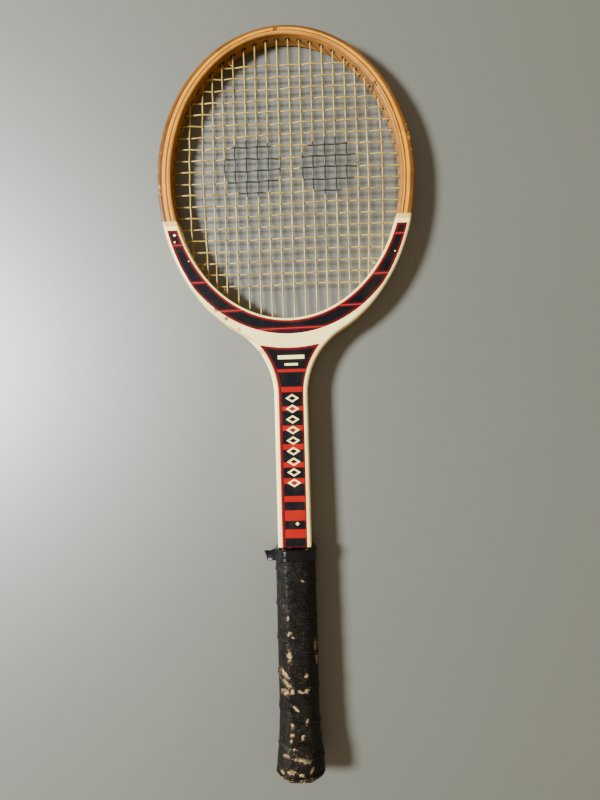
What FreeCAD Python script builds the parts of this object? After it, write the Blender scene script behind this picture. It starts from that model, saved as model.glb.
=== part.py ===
import FreeCAD, Part
import math
import os

import Sketcher

# Wooden tennis racket, lying face up. +X is the racket's right, +Y runs from the butt to the head's tip
# and +Z is the front face's normal. The origin is under the middle of the whole racket, at its lowest level.

os.makedirs("parts", exist_ok=True)
doc = FreeCAD.newDocument("racket")
Vector = FreeCAD.Vector

DRIVING_SIZES = {
    "overall_length": 686.0,
    "mid_plane_height": 19.4,        # string plane above the lowest point, which is the butt's flare
    "frame_depth": 19.5,             # front face to back face
    "edge_round": 2.6,               # outer edges of the frame
    "hoop_edge_round": 1.3,          # inner edges of the frame
    "head_half_width": 118.0,        # outside of the head
    "head_centre_y": 204.3,          # level of the head's widest place
    "shoulder_drop": 154.5,          # lower semi-axis of the head's outside
    "hoop_half_width": 105.0,        # inside of the head
    "hoop_half_length": 130.0,
    "shaft_half_width": 15.2,
    "throat_start_y": 4.0,           # where the shaft starts to flare
    "bow_shaft_share": 12.5,         # width that the plies would fill at the shaft if the hoop ran down it too
    "outer_ply_edge": 0.38,          # ply borders, as a share of the frame's width from the outside
    "outer_ash_edge": 0.60,
    "veneer_edge": 0.71,
    "bow_edge": 0.81,
    "wedge_top_y": 162.0,
    "wedge_tail_y": -30.0,
    "overlay_thick": 0.5,
    "overlay_top_y": 160.0,
    "overlay_edge": 3.0,
    "decal_thick": 0.12,
    "decal_top_y": 157.5,
    "decal_inner_gap": 2.0,
    "decal_outer_drop": 144.3,
    "decal_half_width": 11.3,
    "decal_shift_x": 1.0,
    "panel_top_y": 47.3,
    "handle_top_y": -136.0,
    "handle_end_y": -337.0,
    "handle_half_width": 16.6,       # bare wood, side to side
    "handle_half_depth": 14.1,       # bare wood, front to back
    "front_flat_half": 8.2,
    "side_flat_half": 5.6,
    "leather_thick": 1.7,
    "flare_thick": 3.6,
    "flare_start_y": -292.0,
    "flare_end_y": -328.0,
    "cap_thick": 5.3,
    "cap_round": 3.6,
    "tape_thick": 0.5,
    "tape_length": 10.6,
    "flap_length": 10.5,
    "flap_height": 9.8,
    "flap_thick": 0.3,
    "flap_level": 4.0,
    "tack_head_round": 2.6,
    "tack_head_thick": 0.7,
    "tack_shank_round": 0.6,
    "tack_shank_length": 8.5,
    "short_shank_length": 5.5,       # the tack at the leather's top end
    "top_tack_along": 185.0,         # tacks' places, up from the handle's end
    "heel_tack_along": 5.0,
    "string_width": 1.35,
    "string_level": 0.72,            # mains this far above the mid plane, crosses this far below it
    "hole_round": 1.5,
    "groove_depth": 1.75,
    "groove_half_height": 1.75,
    "loop_inset": 0.95,              # string loops' centre line in from the outside
    "main_pitch": 10.3,
    "last_main_gap": 12.0,
    "first_cross_y": 310.4,
    "last_cross_y": 106.8,
    "knot_round": 1.6,
}

sheet = doc.addObject("Spreadsheet::Sheet", "Sizes")
for row, (alias, value) in enumerate(DRIVING_SIZES.items(), start=1):
    sheet.set("A%d" % row, alias)
    sheet.set("B%d" % row, str(value))
    sheet.setAlias("B%d" % row, alias)
doc.recompute()


def size(alias):
    return float(sheet.get(alias))


MID = size("mid_plane_height")
TIP_Y = size("overall_length") / 2
BUTT_Y = -size("overall_length") / 2
HEAD_Y = size("head_centre_y")
HALF_DEPTH = size("frame_depth") / 2
TIP_DROP = TIP_Y - HEAD_Y
SIDE_WIDTH = size("head_half_width") - size("hoop_half_width")
TIP_WIDTH = TIP_DROP - size("hoop_half_length")
MAINS_PER_SIDE = 9
CROSSES = 20


# ---------------------------------------------------------------- curves of the frame

def ellipse_arc(half_width, half_length, start, end):
    """Arc about the head's centre; the angle runs clockwise from the tip."""
    centre = Vector(0, HEAD_Y, 0)
    points = []
    for angle in (start, (start + end) / 2, end):
        points.append(centre + Vector(half_width * math.sin(angle), half_length * math.cos(angle), 0))
    curve = Part.Ellipse(centre + Vector(0, half_length, 0), centre + Vector(half_width, 0, 0), centre)
    first, last = curve.parameter(points[0]), curve.parameter(points[2])
    middle = curve.parameter(points[1])
    if not first < middle < last:
        last += 2 * math.pi
    if not first < middle < last:
        first, last = curve.parameter(points[2]), curve.parameter(points[0])
        if last < first:
            last += 2 * math.pi
    return Part.ArcOfEllipse(curve, first, last).toShape()


class Outline:
    """Half of the frame's outline, moved in by the given amounts at the sides, the tip and the shaft."""

    def __init__(self, side_inset, tip_inset, shaft_inset):
        self.half_width = size("head_half_width") - side_inset
        self.upper = TIP_DROP - tip_inset
        self.lower = size("shoulder_drop") - side_inset
        self.shaft_x = size("shaft_half_width") - shaft_inset
        self.start_y = size("throat_start_y")
        small, large = 5.0, 400.0
        for _ in range(60):
            self.round = (small + large) / 2
            if self.gap_to_shoulder()[0] > self.round:
                small = self.round
            else:
                large = self.round
        self.angle = self.gap_to_shoulder()[1]

    def shoulder(self, angle):
        return Vector(self.half_width * math.sin(angle), HEAD_Y + self.lower * math.cos(angle), 0)

    def throat_centre(self):
        return Vector(self.shaft_x + self.round, self.start_y, 0)

    def gap_to_shoulder(self):
        """Distance from the throat arc's centre to the shoulder ellipse, and the angle of the nearest point."""
        centre = self.throat_centre()
        low, high = math.pi / 2, math.pi
        for _ in range(80):
            third = (high - low) / 3
            if (self.shoulder(low + third) - centre).Length < (self.shoulder(high - third) - centre).Length:
                high -= third
            else:
                low += third
        return (self.shoulder(low) - centre).Length, low

    def throat_point(self, y):
        x = self.throat_centre().x - math.sqrt(self.round ** 2 - (y - self.start_y) ** 2)
        return Vector(x, y, 0)

    def half_edges(self, end_y):
        """Right half, from the shaft's end up to the tip."""
        join = self.shoulder(self.angle)
        foot = Vector(self.shaft_x, self.start_y, 0)
        bend = self.throat_point((foot.y + join.y) / 2)
        shaft = Part.LineSegment(Vector(self.shaft_x, end_y, 0), foot).toShape()
        throat = Part.Arc(foot, bend, join).toShape()
        shoulder = ellipse_arc(self.half_width, self.lower, math.pi / 2, self.angle)
        top = ellipse_arc(self.half_width, self.upper, 0, math.pi / 2)
        return [shaft, throat, shoulder, top]

    def edges(self, end_y):
        right = self.half_edges(end_y)
        left = [edge.mirror(Vector(0, 0, 0), Vector(1, 0, 0)) for edge in right]
        return right + left

    def closed_face(self, end_y):
        close = Part.LineSegment(Vector(self.shaft_x, end_y, 0), Vector(-self.shaft_x, end_y, 0)).toShape()
        return Part.Face(Part.Wire(Part.__sortEdges__(self.edges(end_y) + [close])))

    def holds(self, point):
        x, y = abs(point.x), point.y - HEAD_Y
        if y > 0:
            return (x / self.half_width) ** 2 + (y / self.upper) ** 2 < 1
        if point.y > self.shoulder(self.angle).y:
            return (x / self.half_width) ** 2 + (y / self.lower) ** 2 < 1
        if point.y > self.start_y:
            return x < self.throat_point(point.y).x
        return x < self.shaft_x

    def reach(self, start, direction):
        """Where a line from inside crosses the outline."""
        near, far = 0.0, 200.0
        for _ in range(60):
            middle = (near + far) / 2
            if self.holds(start + direction * middle):
                near = middle
            else:
                far = middle
        return start + direction * near


def ply_outline(share):
    return Outline(share * SIDE_WIDTH, share * TIP_WIDTH, share * size("bow_shaft_share"))


def even_outline(inset):
    return Outline(inset, inset, inset)


def prism(face, low, high):
    solid = face.extrude(Vector(0, 0, high - low))
    solid.translate(Vector(0, 0, low))
    return solid


def frame_prism(outline, low, high, end_y=BUTT_Y - 10):
    return prism(outline.closed_face(end_y), low, high)


def ellipse_prism(half_width, half_length, low, high):
    centre = Vector(0, HEAD_Y, 0)
    curve = Part.Ellipse(centre + Vector(0, half_length, 0), centre + Vector(half_width, 0, 0), centre)
    return prism(Part.Face(Part.Wire(curve.toShape())), low, high)


def slab(low_y, high_y):
    """Box that holds everything between two levels along the racket."""
    return Part.makeBox(400, high_y - low_y, 80, Vector(-200, low_y, -40))


def octagon(grow, y):
    """Handle's section, grown outwards all round, at a level along the racket."""
    wide, deep = size("handle_half_width") + grow, size("handle_half_depth") + grow
    corner = grow * math.tan(math.pi / 8)
    front, side = size("front_flat_half") + corner, size("side_flat_half") + corner
    corners = [(front, deep), (wide, side), (wide, -side), (front, -deep),
               (-front, -deep), (-wide, -side), (-wide, side), (-front, deep)]
    points = [Vector(x, y, z) for x, z in corners]
    return Part.makePolygon(points + points[:1])


def handle_loft(sections):
    """Solid through octagons, each given as how far it is grown and its level."""
    return Part.makeLoft([octagon(grow, y) for grow, y in sections], True, True)


# ---------------------------------------------------------------- strings' holes and routes

def on_hoop(angle):
    """Point of the head's inside and its outward normal; the angle runs clockwise from the tip."""
    wide, long = size("hoop_half_width"), size("hoop_half_length")
    point = Vector(wide * math.sin(angle), HEAD_Y + long * math.cos(angle), 0)
    normal = Vector(math.sin(angle) / wide, math.cos(angle) / long, 0)
    return point, normal.normalize()


def angle_at_x(x, upper):
    angle = math.asin(x / size("hoop_half_width"))
    return angle if upper else math.pi - angle


def angle_at_y(y):
    return math.acos((y - HEAD_Y) / size("hoop_half_length"))


def main_x(number, upper):
    """A main's distance from the axis where it meets the hoop."""
    pitch = size("main_pitch")
    x = pitch * (number - 0.5)
    if number == MAINS_PER_SIDE:
        x += size("last_main_gap") - pitch - 2.0
    lean = {7: 1.0, 8: 2.3 if upper else 3.4, 9: 0.0}
    return x - lean.get(number, 0)


def cross_y(number):
    step = (size("first_cross_y") - size("last_cross_y")) / (CROSSES - 1)
    return size("first_cross_y") - step * (number - 1)


def mirrored(point, side):
    return Vector(side * point.x, point.y, point.z)


loop_line = even_outline(size("loop_inset"))


def lower_exits():
    """Exits of the holes round the throat, spaced evenly along the outside, in the order of their mouths."""
    order = [("main", n) for n in range(1, 7)] + [("tie", "cross"), ("main", 7), ("cross", 20), ("main", 8)]
    order += [("cross", 19), ("tie", "main"), ("cross", 18), ("main", 9), ("cross", 17), ("cross", 16)]
    first = loop_line.throat_point(54.0)
    point, normal = on_hoop(angle_at_y(cross_y(16)))
    last = loop_line.reach(point, normal)
    steps = 400
    line = []
    for step in range(steps + 1):
        along = first + (last - first) * (step / steps)
        line.append(loop_line.reach(Vector(0, HEAD_Y, 0), (along - Vector(0, HEAD_Y, 0)).normalize()))
    lengths = [0.0]
    for before, after in zip(line, line[1:]):
        lengths.append(lengths[-1] + (after - before).Length)
    exits = {}
    for place, key in enumerate(order):
        wanted = lengths[-1] * place / (len(order) - 1)
        index = min(range(len(line)), key=lambda i: abs(lengths[i] - wanted))
        exits[key] = line[index]
    return exits


def make_holes():
    """Every hole as mouth and exit on the right side of the head, keyed by what goes through it."""
    mouths = {}
    for number in range(1, MAINS_PER_SIDE + 1):
        mouths["main", number, "top"] = angle_at_x(main_x(number, True), True)
        mouths["main", number, "low"] = angle_at_x(main_x(number, False), False)
    for number in range(1, CROSSES + 1):
        mouths["cross", number, "side"] = angle_at_y(cross_y(number))
    between = (main_x(5, True) + main_x(6, True)) / 2
    mouths["tie", "cross", "top"] = angle_at_x(between, True)
    mouths["tie", "cross", "low"] = angle_at_x((main_x(6, False) + main_x(7, False)) / 2, False)
    mouths["tie", "main", "low"] = (angle_at_y(cross_y(18)) + angle_at_y(cross_y(19))) / 2
    exits = lower_exits()
    holes = {}
    for (kind, name, place), angle in mouths.items():
        mouth, normal = on_hoop(angle)
        leave = loop_line.reach(mouth, normal)
        if place != "top" and (kind, name) in exits:
            leave = exits[kind, name]
        holes[kind, name, place] = (mouth, leave)
    return holes


holes = make_holes()
MOUTH_ROUND, EXIT_ROUND, OPEN_ROUND = 2.5, 1.55, 60.0


def through(key, side, outward):
    """The two route points of one hole, with how tight the string may turn at each."""
    mouth, leave = (mirrored(point, side) for point in holes[key])
    points = [(mouth, MOUTH_ROUND), (leave, EXIT_ROUND)]
    return points if outward else points[::-1]


def along_groove(start, end):
    """Points between two exits where the loop is too long to be one straight run."""
    count = int((end - start).Length // 12)
    points = []
    for step in range(1, count + 1):
        aim = start + (end - start) * (step / (count + 1)) - Vector(0, HEAD_Y, 0)
        points.append((loop_line.reach(Vector(0, HEAD_Y, 0), aim.normalize()), OPEN_ROUND))
    return points


def loop(from_key, from_side, to_key, to_side):
    way_out = through(from_key, from_side, True)
    way_in = through(to_key, to_side, False)
    return way_out + along_groove(way_out[1][0], way_in[0][0]) + way_in


def tie_end(key, side):
    """The string's end, a little inside the head."""
    mouth, leave = (mirrored(point, side) for point in holes[key])
    return mouth + (mouth - leave).normalize() * 4.0, EXIT_ROUND


def main_route():
    half = []
    for number in range(1, MAINS_PER_SIDE):
        place = "low" if number % 2 else "top"
        half += loop(("main", number, place), 1, ("main", number + 1, place), 1)
    half += loop(("main", MAINS_PER_SIDE, "low"), 1, ("tie", "main", "low"), 1)
    half.append(tie_end(("tie", "main", "low"), 1))
    centre = loop(("main", 1, "top"), -1, ("main", 1, "top"), 1)
    left = [(mirrored(point, -1), turn) for point, turn in reversed(half)]
    return left + centre + half


def cross_route():
    route = [tie_end(("tie", "cross", "top"), -1)]
    route += loop(("tie", "cross", "top"), -1, ("cross", 1, "side"), -1)
    for number in range(1, CROSSES):
        side = 1 if number % 2 else -1
        route += loop(("cross", number, "side"), side, ("cross", number + 1, "side"), side)
    route += loop(("cross", CROSSES, "side"), -1, ("tie", "cross", "low"), -1)
    route.append(tie_end(("tie", "cross", "low"), -1))
    return route


def rounded_path(route):
    """Straight runs joined by tangent arcs."""
    points = [point for point, _ in route]
    edges = []
    start = points[0]
    for index in range(1, len(points) - 1):
        before, corner, after = points[index - 1:index + 2]
        back, ahead = before - corner, after - corner
        turn = math.pi - back.getAngle(ahead)
        if turn < 0.01:
            continue
        half = math.tan(turn / 2)
        trim = min(route[index][1] * half, 0.45 * min(back.Length, ahead.Length))
        back.normalize()
        ahead.normalize()
        first, last = corner + back * trim, corner + ahead * trim
        inward = (back + ahead).normalize()
        middle = corner + inward * (trim / half * (1 / math.cos(turn / 2) - 1))
        edges.append(Part.LineSegment(start, first).toShape())
        edges.append(Part.Arc(first, middle, last).toShape())
        start = last
    edges.append(Part.LineSegment(start, points[-1]).toShape())
    return Part.Wire(edges)


def string_solid(label, route, level):
    """A string swept along its route, with its volume compared with its section times its length."""
    path = rounded_path(route)
    path.translate(Vector(0, 0, level))
    begin = path.Vertexes[0].Point
    direction = path.Edges[0].tangentAt(path.Edges[0].FirstParameter)
    ring = Part.Wire(Part.makeCircle(size("string_width") / 2, begin, direction))
    solid = path.makePipeShell([ring], True, False)
    expected = math.pi * size("string_width") ** 2 / 4 * path.Length
    print(label, "length", round(path.Length), "volume share", round(solid.Volume / expected, 4))
    return solid


def hole_tools():
    tools = []
    for (kind, name, place), (mouth, leave) in holes.items():
        direction = (leave - mouth).normalize()
        level = size("string_level") if kind == "main" or (kind, name) == ("tie", "main") else -size("string_level")
        sides = (-1,) if (kind, name) == ("tie", "cross") else (-1, 1)
        for side in sides:
            start = mirrored(mouth - direction * 3.5, side) + Vector(0, 0, level)
            length = (leave - mouth).Length + 3.5
            tools.append(Part.makeCylinder(size("hole_round"), length, start, mirrored(direction, side)))
    return tools


# ---------------------------------------------------------------- document objects

def add_shape(label, shape):
    """A sub-part whose shape is set in code; it is drawn about the mid plane and placed at its height."""
    if len(shape.Solids) == 1:
        shape = shape.Solids[0]
    part = doc.addObject("Part::Feature", label)
    part.Label = label
    part.Shape = shape
    part.Placement = FreeCAD.Placement(Vector(0, 0, MID), FreeCAD.Rotation())
    return part


def plane_of(body, role):
    return next(item for item in body.Origin.OriginFeatures if item.Role == role)


def add_body(label, y_alias):
    body = doc.addObject("PartDesign::Body", label)
    body.Label = label
    body.setExpression("Placement.Base.y", "Sizes.%s" % y_alias)
    body.setExpression("Placement.Base.z", "Sizes.mid_plane_height")
    return body


def hold(sketch, geometry, which, axis, sign, alias):
    """Fix one coordinate of a point to a cell of the sheet, or to zero."""
    kind = "Distance" + axis
    if sign == 0:
        sketch.addConstraint(Sketcher.Constraint("PointOnObject", geometry, which, -2 if axis == "X" else -1))
        return
    ends = (-1, 1, geometry, which) if sign > 0 else (geometry, which, -1, 1)
    index = sketch.addConstraint(Sketcher.Constraint(kind, *ends, size(alias)))
    sketch.setExpression("Constraints[%d]" % index, "Sizes.%s" % alias)


def polygon_sketch(body, role, corners):
    """Closed polygon whose corners are each (sign, alias, sign, alias) from the sketch's origin."""
    sketch = body.newObject("Sketcher::SketchObject", body.Label + "_sketch")
    sketch.AttachmentSupport = [(plane_of(body, role), "")]
    sketch.MapMode = "FlatFace"
    points = []
    for x_sign, x_alias, y_sign, y_alias in corners:
        x = x_sign * size(x_alias) if x_sign else 0
        y = y_sign * size(y_alias) if y_sign else 0
        points.append(Vector(x, y, 0))
    count = len(points)
    for index in range(count):
        sketch.addGeometry(Part.LineSegment(points[index], points[(index + 1) % count]), False)
    for index in range(count):
        sketch.addConstraint(Sketcher.Constraint("Coincident", index, 2, (index + 1) % count, 1))
    for index, (x_sign, x_alias, y_sign, y_alias) in enumerate(corners):
        hold(sketch, index, 1, "X", x_sign, x_alias)
        hold(sketch, index, 1, "Y", y_sign, y_alias)
    return sketch


def pad(body, sketch, expression, reverse=False):
    feature = body.newObject("PartDesign::Pad", body.Label + "_pad")
    feature.Profile = sketch
    feature.setExpression("Length", expression)
    feature.Reversed = reverse
    body.Tip = feature
    return feature


# ---------------------------------------------------------------- wooden frame

def wood_envelope():
    """The glued frame's outside: rounded edges, and planed to the octagon down the handle."""
    body = frame_prism(even_outline(0), -HALF_DEPTH, HALF_DEPTH, BUTT_Y - 10)
    rims = []
    for edge in body.Edges:
        box = edge.BoundBox
        if box.ZLength < 0.01 and box.YMax > BUTT_Y - 9:
            rims.append(edge)
    body = body.makeFillet(size("edge_round"), rims)
    end_y = size("handle_end_y")
    top = size("handle_top_y")
    planed = handle_loft([(0, end_y), (0, top)])
    handle = body.common(slab(BUTT_Y, top)).common(planed)
    return body.common(slab(top, TIP_Y + 5)), handle


envelope_head, envelope_handle = wood_envelope()


def overlay_solid(side):
    """Fibre sheet let in flush with one face, round the throat and down the shaft."""
    thick = size("overlay_thick")
    low = HALF_DEPTH - thick if side > 0 else -HALF_DEPTH
    sheet_solid = frame_prism(even_outline(size("overlay_edge")), low, low + thick)
    gap = size("hoop_edge_round") + 0.1
    opening = ellipse_prism(size("hoop_half_width") + gap, size("hoop_half_length") + gap, low - 1, low + 2)
    return sheet_solid.cut(opening).common(slab(size("handle_top_y"), size("overlay_top_y")))


overlays = {"front": overlay_solid(1), "back": overlay_solid(-1)}
drilled = hole_tools()
groove_low = size("groove_half_height")
groove = frame_prism(even_outline(-5), -groove_low, groove_low)
groove = groove.cut(frame_prism(even_outline(size("groove_depth")), -groove_low - 1, groove_low + 1))
groove = groove.common(slab(52, TIP_Y + 10))


def trimmed(shape, tools):
    """A frame piece cut to the envelope, with the overlays' recesses, the holes and the groove taken out."""
    head = shape.common(envelope_head).cut([overlays["front"], overlays["back"]] + tools)
    handle = shape.common(envelope_handle)
    return head.fuse(handle).removeSplitter() if handle.Volume > 1 else head


def bow_ply(label, outer_share, inner_share, tools):
    deep = HALF_DEPTH + 1
    shape = frame_prism(ply_outline(outer_share), -deep, deep)
    shape = shape.cut(frame_prism(ply_outline(inner_share), -deep - 1, deep + 1))
    shape = shape.common(slab(BUTT_Y - 5, TIP_Y + 10))
    return add_shape(label, trimmed(shape, tools))


bow_ply("outer_ply", -0.3, size("outer_ply_edge"), drilled + [groove])
bow_ply("ash_ply_outer", size("outer_ply_edge"), size("outer_ash_edge"), drilled)
bow_ply("centre_veneer", size("outer_ash_edge"), size("veneer_edge"), drilled)
bow_ply("ash_ply_inner", size("veneer_edge"), size("bow_edge"), drilled)

HOOP_SHARE = 1 - size("bow_edge")
hoop_edge = (size("hoop_half_width") + HOOP_SHARE * SIDE_WIDTH, size("hoop_half_length") + HOOP_SHARE * TIP_WIDTH)
lower_hoop_length = hoop_edge[1] + 0.6


def inner_hoop():
    deep = HALF_DEPTH
    opening = ellipse_prism(size("hoop_half_width"), size("hoop_half_length"), -deep - 1, deep + 1)
    upper = frame_prism(ply_outline(size("bow_edge")), -deep, deep).common(slab(size("wedge_top_y"), TIP_Y + 5))
    lower = ellipse_prism(hoop_edge[0], lower_hoop_length, -deep, deep)
    lower = lower.common(slab(BUTT_Y, size("wedge_top_y")))
    hoop = upper.fuse(lower).removeSplitter().cut(opening)
    rims = []
    for edge in hoop.Edges:
        box = edge.BoundBox
        middle = edge.valueAt((edge.FirstParameter + edge.LastParameter) / 2)
        wide = (middle.x / size("hoop_half_width")) ** 2
        long = ((middle.y - HEAD_Y) / size("hoop_half_length")) ** 2
        if box.ZLength < 0.01 and abs(wide + long - 1) < 0.002:
            rims.append(edge)
    hoop = hoop.makeFillet(size("hoop_edge_round"), rims)
    hoop = hoop.cut([overlays["front"], overlays["back"]] + drilled)
    return add_shape("inner_hoop", hoop)


def throat_wedge():
    deep = HALF_DEPTH
    wedge = frame_prism(ply_outline(size("bow_edge")), -deep, deep)
    wedge = wedge.common(slab(size("wedge_tail_y"), size("wedge_top_y")))
    wedge = wedge.cut(ellipse_prism(hoop_edge[0], lower_hoop_length, -deep - 1, deep + 1))
    wedge = wedge.cut([overlays["front"], overlays["back"]] + drilled)
    return add_shape("throat_wedge", wedge)


def shaft_core():
    """Filler between the bows; the overlays' recesses stop where the handle starts."""
    x = size("shaft_half_width") - size("bow_edge") * size("bow_shaft_share")
    length = size("wedge_tail_y") - size("handle_end_y")
    core = Part.makeBox(2 * x, length, 2 * HALF_DEPTH, Vector(-x, size("handle_end_y"), -HALF_DEPTH))
    return add_shape("shaft_core", core.cut([overlays["front"], overlays["back"]]))


inner_hoop()
throat_wedge()
shaft_core()
for face_name, shape in overlays.items():
    add_shape("shoulder_overlay_" + face_name, shape)


# ---------------------------------------------------------------- decals

def throat_decal(side):
    low = HALF_DEPTH if side > 0 else -HALF_DEPTH - size("decal_thick")
    high = low + size("decal_thick")
    gap = size("decal_inner_gap")
    drop = size("decal_outer_drop")
    band = ellipse_prism(size("head_half_width") + 2, drop, low, high)
    band = band.common(frame_prism(even_outline(size("overlay_edge")), low, high))
    opening = ellipse_prism(size("hoop_half_width") + gap, size("hoop_half_length") + gap, low - 1, high + 1)
    return band.cut(opening).common(slab(BUTT_Y, size("decal_top_y")))


def shaft_decal(side):
    """Throat panel with a curved top, narrowing to the strip that runs under the collar tape."""
    low = HALF_DEPTH if side > 0 else -HALF_DEPTH - size("decal_thick")
    half = size("decal_half_width")
    narrow = even_outline(size("shaft_half_width") - half)
    shape = frame_prism(narrow, low, low + size("decal_thick"))
    crest = size("panel_top_y")
    smile = Part.makeCylinder(120, 60, Vector(0, crest + 120, -30))
    shape = shape.cut(smile).common(slab(size("handle_top_y"), crest + 2.6))
    shape.translate(Vector(size("decal_shift_x"), 0, 0))
    return shape


for face_name, side in (("front", 1), ("back", -1)):
    add_shape("throat_decal_" + face_name, throat_decal(side))
    add_shape("shaft_decal_" + face_name, shaft_decal(side))


# ---------------------------------------------------------------- handle

def pallet(label, corners):
    body = add_body(label, "handle_end_y")
    sketch = polygon_sketch(body, "XZ_Plane", corners)
    pad(body, sketch, "Sizes.handle_top_y - Sizes.handle_end_y", True)
    return body


def tack_hole(body, role, down_plane, along_alias, reverse):
    """Round hole for a tack's shank through a pallet, made from one of the body's origin planes."""
    doc.recompute()
    whole_volume = body.Shape.Volume
    sketch = body.newObject("Sketcher::SketchObject", body.Label + "_hole")
    sketch.AttachmentSupport = [(plane_of(body, role), "")]
    sketch.MapMode = "FlatFace"
    along = size(along_alias)
    centre = Vector(0, along, 0) if down_plane else Vector(along, 0, 0)
    sketch.addGeometry(Part.Circle(centre, Vector(0, 0, 1), size("tack_shank_round")), False)
    hold(sketch, 0, 3, "X", 0 if down_plane else 1, along_alias)
    hold(sketch, 0, 3, "Y", 1 if down_plane else 0, along_alias)
    index = sketch.addConstraint(Sketcher.Constraint("Radius", 0, size("tack_shank_round")))
    sketch.setExpression("Constraints[%d]" % index, "Sizes.tack_shank_round")
    pocket = body.newObject("PartDesign::Pocket", body.Label + "_pocket")
    pocket.Profile = sketch
    pocket.Type = "ThroughAll"
    pocket.Reversed = reverse
    body.Tip = pocket
    doc.recompute()
    if body.Shape.Volume > whole_volume - 0.5:
        raise RuntimeError("the tack's hole cut nothing: " + body.Label)


slope = (size("handle_half_depth") - size("side_flat_half")) / (size("handle_half_width") - size("front_flat_half"))
DERIVED_SIZES = {
    "frame_half_depth": HALF_DEPTH,
    "pallet_foot_half": size("handle_half_width") - (HALF_DEPTH - size("side_flat_half")) / slope,
    "side_foot_half": size("side_flat_half") + (size("handle_half_width") - size("shaft_half_width")) * slope,
}
for row, (alias, value) in enumerate(DERIVED_SIZES.items(), start=len(DRIVING_SIZES) + 2):
    sheet.set("A%d" % row, alias)
    sheet.set("B%d" % row, "%.4f" % value)
    sheet.setAlias("B%d" % row, alias)
doc.recompute()

pallet("handle_pallet_front", [(1, "pallet_foot_half", 1, "frame_half_depth"),
                               (1, "front_flat_half", 1, "handle_half_depth"),
                               (-1, "front_flat_half", 1, "handle_half_depth"),
                               (-1, "pallet_foot_half", 1, "frame_half_depth")])
pallet("handle_pallet_back", [(1, "pallet_foot_half", -1, "frame_half_depth"),
                              (1, "front_flat_half", -1, "handle_half_depth"),
                              (-1, "front_flat_half", -1, "handle_half_depth"),
                              (-1, "pallet_foot_half", -1, "frame_half_depth")])
pallet("handle_pallet_right", [(1, "shaft_half_width", 1, "side_foot_half"),
                               (1, "handle_half_width", 1, "side_flat_half"),
                               (1, "handle_half_width", -1, "side_flat_half"),
                               (1, "shaft_half_width", -1, "side_foot_half")])
pallet("handle_pallet_left", [(-1, "shaft_half_width", 1, "side_foot_half"),
                              (-1, "handle_half_width", 1, "side_flat_half"),
                              (-1, "handle_half_width", -1, "side_flat_half"),
                              (-1, "shaft_half_width", -1, "side_foot_half")])

tack_hole(doc.getObject("handle_pallet_back"), "XY_Plane", True, "top_tack_along", False)
tack_hole(doc.getObject("handle_pallet_right"), "YZ_Plane", False, "heel_tack_along", True)

END_Y, TOP_Y = size("handle_end_y"), size("handle_top_y")
START_Y, FULL_Y = size("flare_start_y"), size("flare_end_y")
FLARE, LEATHER = size("flare_thick"), size("leather_thick")
flare_line = [(FLARE, END_Y), (FLARE, FULL_Y), (0.28 * FLARE, (START_Y + FULL_Y) / 2), (0.3, START_Y)]


def heel_flares():
    outside = handle_loft(flare_line)
    ring = outside.cut(handle_loft([(0, END_Y - 5), (0, START_Y + 5)]))
    above = Part.makeBox(80, 400, 40, Vector(-40, BUTT_Y - 5, 0))
    return {"front": ring.common(above), "back": ring.cut(above)}


def grip_leather():
    """Leather over the whole handle and its flare, as one closed sleeve."""
    flared = [(grow + LEATHER, y) for grow, y in flare_line]
    outside = handle_loft(flared + [(LEATHER, START_Y + 8), (LEATHER, TOP_Y - 1)])
    inside = handle_loft(flare_line).fuse(handle_loft([(0, END_Y), (0, TOP_Y + 1)]))
    return outside.cut(inside)


def collar_tape():
    """Tape round the leather's top end, with its loose end standing off on the left."""
    low = TOP_Y + 0.5 - size("tape_length")
    grow = LEATHER + 0.02
    outside = handle_loft([(grow + size("tape_thick"), low), (grow + size("tape_thick"), TOP_Y + 0.5)])
    tube = outside.cut(handle_loft([(grow, low - 1), (grow, TOP_Y + 2)]))
    wide = size("handle_half_width") + grow
    flap = Part.makeBox(size("flap_length"), size("flap_height"), size("flap_thick"),
                        Vector(-wide - size("flap_length"), low + 0.4, size("flap_level")))
    return tube.fuse(flap)


def tack(place, direction, length):
    """Domed head on a round shank, driven in against the given direction."""
    head, thick = size("tack_head_round"), size("tack_head_thick")
    shank = size("tack_shank_round")
    dome = (head ** 2 + thick ** 2) / (2 * thick)
    rim = Vector(head / 2, 0, thick - dome + math.sqrt(dome ** 2 - head ** 2 / 4))
    foot, crown = Vector(head, 0, 0), Vector(0, 0, thick)
    edges = [Part.LineSegment(Vector(0, 0, -length), Vector(shank, 0, -length + 2)).toShape(),
             Part.LineSegment(Vector(shank, 0, -length + 2), Vector(shank, 0, 0)).toShape(),
             Part.LineSegment(Vector(shank, 0, 0), foot).toShape(),
             Part.Arc(foot, rim, crown).toShape(),
             Part.LineSegment(crown, Vector(0, 0, -length)).toShape()]
    solid = Part.Face(Part.Wire(edges)).revolve(Vector(0, 0, 0), Vector(0, 0, 1), 360)
    solid = Part.Solid(Part.Shell(solid.Faces))
    turn = FreeCAD.Rotation(Vector(0, 0, 1), direction)
    solid.Placement = FreeCAD.Placement(place, turn)
    return solid


CAP_Y = END_Y - size("cap_thick")
LONG_SHANK = size("tack_shank_length")
cap_tacks = [tack(Vector(x, CAP_Y, 0), Vector(0, -1, 0), LONG_SHANK) for x in (-9.5, 9.5)]
back_level = -size("handle_half_depth") - LEATHER
top_tack_place = Vector(0, END_Y + size("top_tack_along"), back_level)
top_tack = tack(top_tack_place, Vector(0, 0, -1), size("short_shank_length"))
heel_tack_place = Vector(size("handle_half_width") + FLARE + LEATHER, END_Y + size("heel_tack_along"), 0)
heel_tack = tack(heel_tack_place, Vector(1, 0, 0), LONG_SHANK)


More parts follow.
